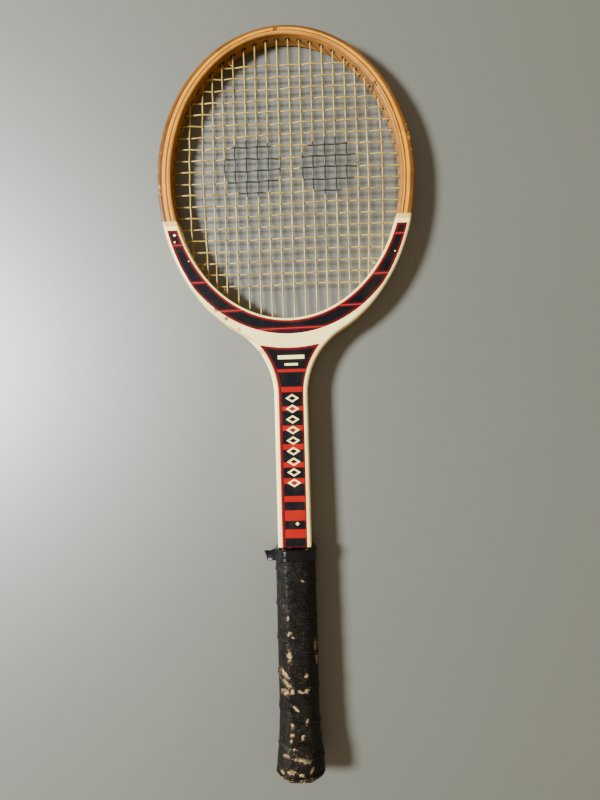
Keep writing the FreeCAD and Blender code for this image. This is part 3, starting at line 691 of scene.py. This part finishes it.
def through(key, side, outward):
    """The string's two points in one hole."""
    points = [Vector((side * point.x, point.y, level_of(key))) for point in holes[key]]
    return points if outward else points[::-1]


def around_outside(start, end):
    """Points in the groove between two exits."""
    count = max(1, int((end - start).length // 3))
    level = start.z
    points = []
    for step in range(1, count + 1):
        aim = start.lerp(end, step / (count + 1)).xy - HEAD_CENTRE
        place = loop_line.reach(HEAD_CENTRE, aim.normalized())
        points.append(Vector((place.x, place.y, level)))
    return points


def loop(from_key, from_side, to_key, to_side):
    way_out = through(from_key, from_side, True)
    way_in = through(to_key, to_side, False)
    return way_out + around_outside(way_out[1], way_in[0]) + way_in


def tie_end(key, side):
    """The string's end, a little inside the head."""
    mouth, leave = through(key, side, True)
    return mouth + (mouth - leave).normalized() * 4.0


MAIN_BOW = {7: 0.7, 8: 2.2, 9: 2.5}


def main_place(column, y):
    """X of a main at a level; columns 0 to 17 run from left to right."""
    side = 1 if column >= MAINS_PER_SIDE else -1
    number = column - MAINS_PER_SIDE + 1 if side > 0 else MAINS_PER_SIDE - column
    top, low = holes["main", number, "top"][0], holes["main", number, "low"][0]
    share = (y - low.y) / (top.y - low.y)
    sway = 0.35 * math.sin(column * 2.3 + y * 0.021)
    bow = (MAIN_BOW.get(number, 0.25) + sway) * math.sin(math.pi * min(max(share, 0), 1))
    return side * (low.x + (top.x - low.x) * share + bow)


def cross_place(number, x):
    """Y of a cross at a distance from the axis: a little uneven, as hand-strung crosses settle."""
    mouth = holes["cross", number, "side"][0]
    share = (x + mouth.x) / (2 * mouth.x)
    ease = math.sin(math.pi * min(max(share, 0), 1))
    wave = 0.55 * math.sin(number * 1.9 + x * 0.045) + 0.3 * math.sin(number * 4.1 + x * 0.11)
    return mouth.y + (wave + 0.012 * x) * ease


def inside_hoop(x, y, margin):
    p, q = x / (HOOP_HALF_WIDTH - margin), (y - HEAD_Y) / (HOOP_HALF_LENGTH - margin)
    return p * p + q * q < 1


def crossings():
    """Where each main meets each cross, keyed by column and cross number."""
    found = {}
    for column in range(2 * MAINS_PER_SIDE):
        for number in range(1, CROSSES + 1):
            x, y = 0.0, cross_y(number)
            for _ in range(3):
                x = main_place(column, y)
                y = cross_place(number, x)
            if inside_hoop(x, y, 3.0):
                found[column, number] = (x, y)
    return found


meetings = crossings()


def woven(start, end, swings, place):
    """A stretch across the head; swings are (distance along, height) and place gives a point."""
    knots = [(start, place(start).z)] + sorted(swings) + [(end, place(end).z)]
    points = []
    for (first, low), (last, high) in zip(knots, knots[1:]):
        pieces = max(2, int(abs(last - first) / 1.2))
        for step in range(pieces):
            share = step / pieces
            point = place(first + (last - first) * share)
            eased = share * share * (3 - 2 * share)
            points.append(Vector((point.x, point.y, low + (high - low) * eased)))
    return points[1:]


def main_bed(number, side, falling):
    column = MAINS_PER_SIDE - 1 + number if side > 0 else MAINS_PER_SIDE - number
    top, low = holes["main", number, "top"][0].y, holes["main", number, "low"][0].y
    swings = []
    for cross in range(1, CROSSES + 1):
        if (column, cross) in meetings:
            height = WEAVE if (column + cross) % 2 else -WEAVE
            swings.append((meetings[column, cross][1], height))

    def place(y):
        return Vector((main_place(column, y), y, STRING_LEVEL))

    points = woven(low, top, swings, place)
    return points[::-1] if falling else points


def cross_bed(number, rightward):
    mouth = holes["cross", number, "side"][0].x
    swings = []
    for column in range(2 * MAINS_PER_SIDE):
        if (column, number) in meetings:
            height = -WEAVE if (column + number) % 2 else WEAVE
            swings.append((meetings[column, number][0], height))

    def place(x):
        return Vector((x, cross_place(number, x), -STRING_LEVEL))

    points = woven(-mouth, mouth, swings, place)
    return points if rightward else points[::-1]


def main_half(side):
    """From the first hole at the tip to the tie-off, on one side of the axis."""
    path = through(("main", 1, "top"), side, False)
    for number in range(1, MAINS_PER_SIDE + 1):
        falling = number % 2 == 1
        path += main_bed(number, side, falling)
        here = ("main", number, "low" if falling else "top")
        after = ("main", number + 1, here[2]) if number < MAINS_PER_SIDE else ("tie", "main", "low")
        path += loop(here, side, after, side)
    return path + [tie_end(("tie", "main", "low"), side)]


def main_route():
    left, right = main_half(-1), main_half(1)
    return left[::-1] + around_outside(left[0], right[0]) + right


def cross_route():
    tie_top, tie_low = ("tie", "cross", "top"), ("tie", "cross", "low")
    path = [tie_end(tie_top, -1)] + loop(tie_top, -1, ("cross", 1, "side"), -1)
    for number in range(1, CROSSES + 1):
        rightward = number % 2 == 1
        path += cross_bed(number, rightward)
        side = 1 if rightward else -1
        after = ("cross", number + 1, "side") if number < CROSSES else tie_low
        path += loop(("cross", number, "side"), side, after, side)
    return path + [tie_end(tie_low, -1)]


INK_SPOTS = ((-31.0, 216.0, 27.0), (40.0, 216.0, 27.0))


def string_surface(name):
    """Old twisted gut, yellowed, greyed by dirt, with two plain round ink marks."""
    surface = Surface(name, 0.42)
    surface.coat(0.2, 0.3)
    along, around = surface.attribute("along"), surface.attribute("around")
    twist = (along * 3.4 + around * 6.2832).math("SINE")
    tone = surface.noise(0.05, 4.0, 0.6).step(0.35, 0.7)
    colour = surface.mix(tone, paint(176, 152, 78), paint(138, 110, 46))
    dirt = surface.noise(0.8, 4.0, 0.7).step(0.56, 0.74)
    colour = surface.mix(dirt * 0.5, colour, paint(92, 70, 34))
    ragged = (surface.noise(0.5, 3.0, 0.6) - 0.5) * 5.0
    for x, y, size in INK_SPOTS:
        across, above = surface.x - x, surface.y - y
        inked = (distance(across, above) + ragged).step(size + 1.0, size - 1.0)
        patchy = surface.noise(1.3, 4.0, 0.7).step(0.80, 0.60) * 0.96
        colour = surface.mix(inked * patchy, colour, paint(14, 14, 12))
    return surface.finish(colour, dirt * 0.25 + 0.36, twist, 0.035)


STRING_STEP = 0.75
KNOT_STEP = 0.3
KNOT_ROUND = 0.52


def along_tube(rings, around, step):
    """Each tube point's distance along it, and its share of the way round."""
    return np.repeat(np.arange(rings) * step, around), np.tile(np.arange(around) / around, rings)


def add_string(name, route, material):
    """One long string as a tube with its own length along it."""
    around = 10
    path = softened(resample([(p.x, p.y, p.z + MID) for p in route], STRING_STEP), 3)
    points = tube(path, STRING_ROUND, around)
    attributes = dict(zip(("along", "around"), along_tube(len(path), around, STRING_STEP)))
    faces = tube_rows((len(path), around))
    return add_mesh(name, points, faces, [name], material, attributes)


def knot_path(centre, inward, turn):
    """A trefoil pulled tight, with a short tail pointing into the head."""
    inward = inward.normalized()
    side = Vector((-inward.y, inward.x, 0.0))
    points = []
    for step in range(44):
        angle = turn + 2 * math.pi * step / 44 * 0.97
        across = math.sin(angle) + 2 * math.sin(2 * angle)
        ahead = math.cos(angle) - 2 * math.cos(2 * angle)
        rise = -math.sin(3 * angle)
        points.append(centre + side * across * 0.46 + inward * ahead * 0.46 + Vector((0, 0, rise * 0.75)))
    last = points[-1]
    for step in range(1, 7):
        points.append(last + inward * step * 0.75 + side * 0.12 * step * step * 0.3)
    return [(p.x, p.y, p.z + MID) for p in points]


def add_knots(material):
    ties = ((("tie", "main", "low"), 1), (("tie", "main", "low"), -1),
            (("tie", "cross", "top"), -1), (("tie", "cross", "low"), -1))
    points, faces, lengths, shares = [], [], [], []
    around = 8
    for place, (key, side) in enumerate(ties):
        mouth, leave = through(key, side, True)
        inward = mouth - leave
        centre = mouth + inward.normalized() * 2.6
        path = softened(resample(knot_path(centre, inward, place * 1.3), KNOT_STEP), 2)
        base = len(points)
        points += list(tube_any(path, KNOT_ROUND, around))
        faces += [tuple(base + index for index in face) for face in tube_rows((len(path), around))]
        along, turned = along_tube(len(path), around, KNOT_STEP)
        lengths += list(along)
        shares += list(turned)
    attributes = {"along": lengths, "around": shares}
    return add_mesh("tie_off_knots", points, faces, ["tie_off_knots"], material, attributes)


def tube_any(path, radius, around):
    """Rings along a path of any direction, each turned as little as possible from the one before."""
    ahead = np.gradient(path, axis=0)
    ahead /= np.linalg.norm(ahead, axis=1, keepdims=True)
    side = np.cross(ahead[0], [0.3, 0.5, 0.81])
    rings = []
    turns = np.linspace(0.0, 2 * math.pi, around, endpoint=False)
    for centre, forward in zip(path, ahead):
        side = side - forward * np.dot(side, forward)
        side /= np.linalg.norm(side)
        up = np.cross(forward, side)
        rings.append(centre + radius * (np.cos(turns)[:, None] * side + np.sin(turns)[:, None] * up))
    return np.concatenate(rings)


# ---------------------------------------------------------------- handle

FLATS = [(0.0, HANDLE_HALF_WIDTH), (math.pi, HANDLE_HALF_WIDTH),
         (math.pi / 2, HANDLE_HALF_DEPTH), (-math.pi / 2, HANDLE_HALF_DEPTH)]
BEVEL_TURN = math.radians(44.7)
FLATS += [(facing, BEVEL_DISTANCE) for facing in (BEVEL_TURN, -BEVEL_TURN)]
FLATS += [(math.pi - facing, BEVEL_DISTANCE) for facing in (BEVEL_TURN, -BEVEL_TURN)]
ROUNDING = 22.0                      # the higher, the sharper the octagon's ridges


def handle_radius(angle, growth):
    """Distance from the handle's axis to its rounded octagon; the angle turns from +X towards +Z."""
    total = 0.0
    for facing, distance in FLATS:
        lean = np.maximum(np.cos(angle - facing), 0.0)
        total = total + (lean / (distance + growth)) ** ROUNDING
    return total ** (-1.0 / ROUNDING)


def flare_growth(y):
    rising = np.interp(y, FLARE_LEVELS, FLARE_GROWTH)
    beside = sum(np.interp(y + step, FLARE_LEVELS, FLARE_GROWTH) for step in (-4.0, 4.0))
    return (rising + beside) / 3


WRAP_PITCH = 31.4
WRAP_WIDTH = 34.2
WRAP_TOP_Y = HANDLE_TOP_Y - 1.0
WRAP_THICK = 1.5
PEELED = ((-7.0, -229.4, 7.0, 2.2, 95), (-12.0, -246.0, 6.0, 2.2, -38), (-10.2, -254.4, 7.4, 3.0, -38),
          (-11.4, -263.0, 4.2, 3.2, 10), (-5.6, -261.4, 2.6, 2.2, 80), (1.8, -261.8, 3.0, 1.9, -20),
          (7.6, -260.4, 3.4, 2.0, 45), (15.6, -222.6, 6.0, 1.6, 95), (16.6, -235.5, 7.0, 1.5, 95),
          (-6.6, -209.7, 2.8, 1.6, 30), (-4.0, -213.2, 2.4, 1.2, -30), (7.1, -248.0, 2.8, 1.4, 80),
          (-2.7, -276.5, 4.0, 1.4, -42), (-6.1, -292.3, 2.5, 2.0, 80), (-6.3, -299.8, 2.2, 1.8, 0),
          (-7.3, -305.0, 2.2, 1.3, 80), (6.5, -288.4, 3.3, 1.3, 80), (2.8, -301.7, 3.0, 1.6, 60),
          (-5.0, -311.9, 3.0, 1.1, 5), (2.4, -321.1, 8.4, 2.3, -12), (-11.5, -318.4, 4.0, 1.7, 15),
          (-8.0, -331.6, 4.5, 2.6, 12), (1.0, -333.5, 3.5, 1.6, -10), (10.5, -330.5, 3.0, 1.5, 60),
          (-16.0, -334.0, 2.4, 1.6, -50), (5.5, -163.0, 2.0, 1.1, -40), (-7.5, -196.0, 2.8, 1.0, 85))


def peel_at(x, y, z):
    """How far inside a peeled patch a point of the grip's front lies: over 0 inside, falling outside."""
    best = -1.0
    for cx, cy, half_length, half_width, tilt in PEELED:
        if abs(x - cx) > 12 or abs(y - cy) > 12:
            continue
        lean = math.radians(tilt)
        along = (x - cx) * math.cos(lean) + (y - cy) * math.sin(lean)
        aside = (y - cy) * math.cos(lean) - (x - cx) * math.sin(lean)
        best = max(best, 1 - math.hypot(along / half_length, aside / half_width))
    return best if z > MID else -1.0


def back_peel(x, y, z):
    """Peeled places elsewhere: where noise is high."""
    spot = noise.noise(Vector((x, y * 0.8, z)) * 0.085 + Vector((7.0, 3.0, 1.0)))
    fine = noise.noise(Vector((x, y, z)) * 0.4)
    return (spot - 0.56) * 2.2 + fine * 0.25


def grip_profile():
    """Cross-section of the leather strip: share across its width, and height over the bare handle."""
    top = []
    for share in np.linspace(0.0, 1.0, 30):
        from_upper, from_lower = share * WRAP_WIDTH, (1 - share) * WRAP_WIDTH
        height = WRAP_THICK * min(1.0, 0.55 + from_upper / 7.0)
        height += 1.0 * (1 - min(from_lower / 5.5, 1.0)) ** 1.3 * (from_lower > 0.0)
        top.append((share, height - 0.5 * max(0.0, 1 - from_lower / 1.2) ** 2))
    lower_edge = [(1.004, top[-1][1] - 0.35), (1.004, 0.62)]
    under = [(share, 0.12) for share in np.linspace(0.985, 0.01, 12)]
    return top + lower_edge + under


def add_grip():
    """Leather strip wound from the butt to the collar, each turn lapping over the one below it."""
    profile = grip_profile()
    steps = 150
    length = WRAP_TOP_Y - HANDLE_END_Y + WRAP_WIDTH
    turns = length / WRAP_PITCH
    points, peel, ridge = [], [], []
    rng = random.Random(5)
    lift = [rng.uniform(-0.1, 0.2) for _ in range(int(turns) + 3)]
    count = int(turns * steps)
    for index in range(count):
        angle = math.radians(200) - 2 * math.pi * index / steps
        start_y = WRAP_TOP_Y + WRAP_WIDTH * 0.55 - WRAP_PITCH * index / steps
        wander = 0.7 * noise.noise(Vector((index * 0.02, 3.0, 0.0)))
        for share, height in profile:
            y = start_y + wander - share * WRAP_WIDTH
            clipped = min(max(y, HANDLE_END_Y - 0.2), WRAP_TOP_Y)
            growth = float(flare_growth(clipped))
            base = float(handle_radius(angle, growth))
            x, z = base * math.cos(angle), base * math.sin(angle)
            wrinkle = 0.16 * noise.noise(Vector((x, clipped, z)) * 0.22)
            wrinkle += 0.07 * noise.noise(Vector((x, clipped, z)) * 0.75)
            raised = height + (wrinkle + lift[int(index / steps)] * share if height > 0.5 else 0.0)
            worn = max(peel_at(x * 1.06, clipped, z + MID), back_peel(x, clipped, z) if z < 6 else -1.0)
            radius = base + raised - (0.32 * min(max(worn * 5.0, 0.0), 1.0) if height > 0.5 else 0.0)
            points.append((radius * math.cos(angle), clipped, radius * math.sin(angle) + MID))
            peel.append(worn)
            ridge.append(share)
    faces = tube_rows((count, len(profile)))
    faces = [face for face in faces if spread(points, face) > 1e-6]
    attributes = {"peel": peel, "share": ridge}
    return add_mesh("grip_leather", points, faces, ["grip_leather"],
                    grip_surface("worn_leather"), attributes)


def spread(points, face):
    """How long a face is along Y and across it, to leave out the strip's cut-off ends."""
    ys = [points[index][1] for index in face]
    xs = [points[index][0] for index in face]
    return max(ys) - min(ys) + 0.001 * (max(xs) - min(xs))


def grip_surface(name):
    """Old black leather: grained, polished dark by hands, peeling to pale suede. Along the wound strip, a
    painted highlight lies on each turn's lapping edge and painted shade where a turn runs under the one
    above.
    """
    surface = Surface(name, 0.5, 0.17)
    peel = surface.attribute("peel")
    ragged = (surface.noise(0.62, 6.0, 0.75) - 0.5) * 5.2 + (surface.noise(2.1, 4.0, 0.7) - 0.5) * 2.2
    bare = (peel + ragged).step(0.32, 0.40)
    specks = surface.noise(1.0, 4.0, 0.74).step(0.63, 0.66) * surface.noise(0.075, 3.0).step(0.42, 0.56)
    tone = surface.noise(0.07, 4.0, 0.6).step(0.35, 0.7)
    colour = surface.mix(tone, paint(4, 4, 3), paint(16, 12, 10))
    brown = surface.noise(0.16, 5.0, 0.7).step(0.55, 0.75)
    colour = surface.mix(brown * 0.5, colour, paint(42, 29, 21))
    scuff = surface.noise(0.9, 5.0, 0.75).step(0.58, 0.72)
    colour = surface.mix(scuff * 0.2, colour, paint(66, 57, 47))
    halo = (peel + ragged).step(0.0, 0.3) * 0.6
    colour = surface.mix(halo, colour, paint(70, 42, 22))
    nap = surface.noise(1.1, 4.0, 0.7).step(0.35, 0.65)
    suede = surface.mix(nap, paint(200, 176, 128), paint(120, 92, 56))
    colour = surface.mix(bare.most(specks * 0.9), colour, suede)
    share = surface.attribute("share")
    # painted highlight along the lapping lower edge of each turn
    colour = surface.mix(share.step(0.955, 0.99) * 0.2, colour, paint(84, 72, 56))
    # painted shade where the strip's upper edge runs under the turn above
    colour = surface.mix(share.step(0.16, 0.09) * 0.7, colour, paint(6, 5, 4))
    pebble = surface.cells(1.15) * 0.6 + surface.noise(2.2, 3.0) * 0.5
    creases = abs(surface.noise(0.3, 5.0, 0.65) - 0.5).step(0.03, 0.0)
    height = pebble - creases * 0.8 - bare * 1.6
    dull = tone * 0.14 + bare * 0.35 + scuff * 0.15 + 0.30
    return surface.finish(colour, dull, height, 0.3)


def add_butt_cap():
    """Rounded leather-covered end of the handle, knocked about at its left corner."""
    around, rings, inner = 96, 16, 10
    rim_y = HANDLE_END_Y + 0.3
    points, peel = [], []
    for ring in range(rings + 1):
        turn = ring / rings * math.pi / 2
        for place in range(around):
            angle = 2 * math.pi * place / around
            knocked = 1.0 + 0.9 * max(0.0, math.cos(angle - math.pi)) ** 2
            base = float(handle_radius(angle, FLARE_GROWTH[0] + WRAP_THICK))
            drop = (1 - math.cos(turn)) * 3.4 * knocked
            y = rim_y - (rim_y - BUTT_Y - 0.15) * math.sin(turn) ** 0.9
            bumpy = 0.25 * noise.noise(Vector((base * math.cos(angle), y, base * math.sin(angle))) * 0.25)
            radius = base - drop + bumpy
            points.append((radius * math.cos(angle), y, radius * math.sin(angle) + MID))
            worn = noise.noise(Vector((math.cos(angle) * 3.1, ring * 0.25, math.sin(angle) * 3.1)))
            peel.append(0.8 * worn + 0.12 * math.sin(turn) - 0.1)
    first_inner = len(points)
    for ring in range(1, inner):
        share = 1 - ring / inner
        for place in range(around):
            x, y, z = points[rings * around + place]
            x, z = x * share, (z - MID) * share + MID
            points.append((x, y + 0.12 * noise.noise(Vector((x, 9.0, z)) * 0.3), z))
            peel.append(-0.4 + 0.6 * noise.noise(Vector((x, 4.0, z)) * 0.12))
    faces = tube_rows((rings + inner, around), closed_ends=False)
    centre = len(points)
    points.append((0.0, points[first_inner][1], MID))
    peel.append(-0.5)
    last = centre - around
    for place in range(around):
        faces.append((last + place, last + (place + 1) % around, centre))
    faces = [tuple(reversed(face)) for face in faces]
    faces.append(tuple(range(around)))
    attributes = {"peel": peel, "share": [0.5] * len(points)}
    return add_mesh("butt_cap", points, faces, ["butt_cap"],
                    grip_surface("worn_cap"), attributes)


def tape_surface(name):
    """Black vinyl tape, glossy, stretched in fine ridges, dusty in patches."""
    surface = Surface(name, 0.24, 0.36)
    dust = surface.noise(0.6, 5.0, 0.7).step(0.60, 0.75)
    colour = surface.mix(dust * 0.2, paint(3, 4, 7), paint(40, 39, 38))
    ridges = surface.noise(0.5, 3.0, 0.6, surface.vector(surface.x * 0.4, surface.y * 2.2, surface.z * 0.4))
    return surface.finish(colour, dust * 0.3 + 0.27, ridges, 0.16)


FLAP_LINE = ((-27.0, 3.6), (-25.6, 4.0), (-24.0, 4.5), (-22.4, 5.1), (-20.6, 6.0), (-18.6, 7.4),
             (-16.6, 9.3), (-14.8, 11.3))


def add_tape():
    """Tape wound round the leather's top end; its loose end stands off on the left."""
    line = [Vector(point) for point in FLAP_LINE]
    first, last = math.radians(134), math.radians(134 - 470)
    turns = 220
    for step in range(turns + 1):
        share = step / turns
        angle = first + (last - first) * share
        radius = float(handle_radius(angle, 3.0 - 0.42 * min(share * 1.4, 1.0)))
        line.append(Vector((radius * math.cos(angle), radius * math.sin(angle))))
    columns = 14
    low_y, high_y = HANDLE_TOP_Y - 9.6, HANDLE_TOP_Y + 2.3
    points = []
    for index, place in enumerate(line):
        before, after = line[max(index - 1, 0)], line[min(index + 1, len(line) - 1)]
        ahead = (after - before).normalized()
        outward = Vector((-ahead.y, ahead.x))
        loose = max(0.0, 1 - index / len(FLAP_LINE))
        ring = []
        for side in (1, -1):
            for column in range(columns + 1):
                share = column / columns if side > 0 else 1 - column / columns
                y = low_y + (high_y - low_y) * share + loose * (-2.6 * share - 1.2)
                y += 0.18 * noise.noise(Vector((place.x * 0.3, share * 3.0, place.y * 0.3)))
                crinkle = noise.noise(Vector((place.x * 0.25, y * 0.6, place.y * 0.25)))
                ripple = 0.10 * (1 - 0.7 * loose) * crinkle
                curl = loose * (0.9 * (share - 0.5) ** 2 * 4 - 0.4 + 0.9 * (share - 0.4))
                offset = ripple + curl + 0.11 * side
                spot = place + outward * offset
                spot.x -= loose * 2.4 * (share - 0.5)
                above_grip = (y - HANDLE_TOP_Y) / (high_y - HANDLE_TOP_Y)
                hug = max(0.0, above_grip) * (1 - loose)
                snug = max(abs(spot.x) / (SHAFT_HALF_WIDTH + 0.5), abs(spot.y) / (HALF_DEPTH + 0.6))
                spot *= 1 + hug * (1 / snug - 1)
                ring.append((spot.x, y, spot.y + MID))
        points += ring
    faces = tube_rows((len(line), 2 * (columns + 1)))
    return add_mesh("collar_tape", points, faces, ["collar_tape"], tape_surface("vinyl_tape"))


# ---------------------------------------------------------------- assembly

def dress(node, material):
    """Give a CAD node its material."""
    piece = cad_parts[node]
    piece.data.materials.clear()
    piece.data.materials.append(material)


brown_ply = wood("brown_ply", paint(120, 72, 14), paint(74, 41, 7), paint(42, 23, 4), 0.95,
                 rim_tone=paint(196, 142, 66))
ash = wood("pale_ash", paint(220, 152, 28), paint(190, 118, 16), paint(136, 78, 12), 0.8)
veneer = wood("ochre_veneer", paint(112, 64, 6), paint(94, 52, 4), paint(70, 38, 3), 0.8)
hoop = wood("hoop_wood", paint(172, 114, 34), paint(116, 70, 19), paint(70, 39, 9), 0.95, gloss=0.56,
            drilled=True)
wedge = wood("wedge_wood", paint(196, 136, 48), paint(160, 100, 30), paint(116, 70, 20), 0.8)
for node, material in (("outer_ply", brown_ply), ("ash_ply_outer", ash), ("ash_ply_inner", ash),
                       ("centre_veneer", veneer), ("inner_hoop", hoop), ("throat_wedge", wedge),
                       ("shaft_core", wedge)):
    dress(node, material)

paint_surface = chipped_paint("cream_enamel")
band_surface = throat_band("printed_band")
strip_surface = shaft_strip("printed_strip", outside.round)
pale_wood = raw_wood("pallet_wood")
steel = aged_steel("tack_steel")
for face in ("front", "back"):
    dress("shoulder_overlay_" + face, paint_surface)
    dress("throat_decal_" + face, band_surface)
    dress("shaft_decal_" + face, strip_surface)
    dress("handle_pallet_" + face, pale_wood)
    dress("heel_flare_" + face, pale_wood)
for side in ("left", "right"):
    dress("handle_pallet_" + side, pale_wood)
for tacks in ("butt_cap_tacks", "grip_tacks"):
    dress(tacks, steel)

gut = string_surface("old_gut")
add_string("main_string", main_route(), gut)
add_string("cross_string", cross_route(), gut)
add_knots(gut)
add_grip()
add_butt_cap()
add_tape()


# ---------------------------------------------------------------- floor, light and camera

FLOOR_RISE_X = -0.0175
FLOOR_TOUCH = (-80.0, 300.0)         # where the back of the head's upper left rests


def add_floor():
    """Plain floor, leaning so that the butt and the back of the head's upper left rest on it."""
    touch_y = HANDLE_END_Y + 4.0
    rise_y = (wood_low.z - FLOOR_TOUCH[0] * FLOOR_RISE_X) / (FLOOR_TOUCH[1] - touch_y)
    half = 3000.0
    mesh = bpy.data.meshes.new("floor")
    corners = [(x, y, (y - touch_y) * rise_y + x * FLOOR_RISE_X - 0.5)
               for x, y in ((-half, -half), (half, -half), (half, half), (-half, half))]
    mesh.from_pydata([Vector(corner) * MM for corner in corners], [], [(0, 1, 2, 3)])
    floor = bpy.data.objects.new("floor", mesh)
    bpy.context.scene.collection.objects.link(floor)
    surface = Surface("pale_floor", 0.5, 1.0)
    surface.coat(1.0, 0.43)
    tone = surface.noise(0.004, 3.0)
    colour = surface.mix(tone, paint(85, 88, 80), paint(92, 94, 87))
    mesh.materials.append(surface.finish(colour))


def add_light(name, place, aim, size, power, colour):
    lamp = bpy.data.lights.new(name, "AREA")
    lamp.shape = "DISK"
    lamp.size = size * MM
    lamp.energy = power
    lamp.color = colour
    holder = bpy.data.objects.new(name, lamp)
    holder.location = Vector(place) * MM
    holder.rotation_euler = (Vector(aim) - Vector(place)).to_track_quat("-Z", "Y").to_euler()
    bpy.context.scene.collection.objects.link(holder)


def add_world():
    world = bpy.data.worlds.new("studio")
    bpy.context.scene.world = world
    world.use_nodes = True
    feed(world.node_tree.nodes["Background"], {"Color": (1.0, 0.77, 0.52, 1.0), "Strength": 0.44})


CAMERA_PLACE = (24.6, -4.8, 554.9)
CAMERA_TURN = (0.409, 1.807, -1.517)
CAMERA_LENS = 26.1


def add_camera():
    lens = bpy.data.cameras.new("camera")
    lens.lens = CAMERA_LENS
    lens.clip_start = 0.01
    camera = bpy.data.objects.new("camera", lens)
    camera.location = Vector(CAMERA_PLACE) * MM
    camera.rotation_euler = Euler([math.radians(angle) for angle in CAMERA_TURN], "XYZ")
    bpy.context.scene.collection.objects.link(camera)
    bpy.context.scene.camera = camera


add_floor()
add_light("key", (-1850, 200, 1850), (0, 50, 0), 520, 250.0, (0.97, 1.0, 1.0))
add_world()
add_camera()
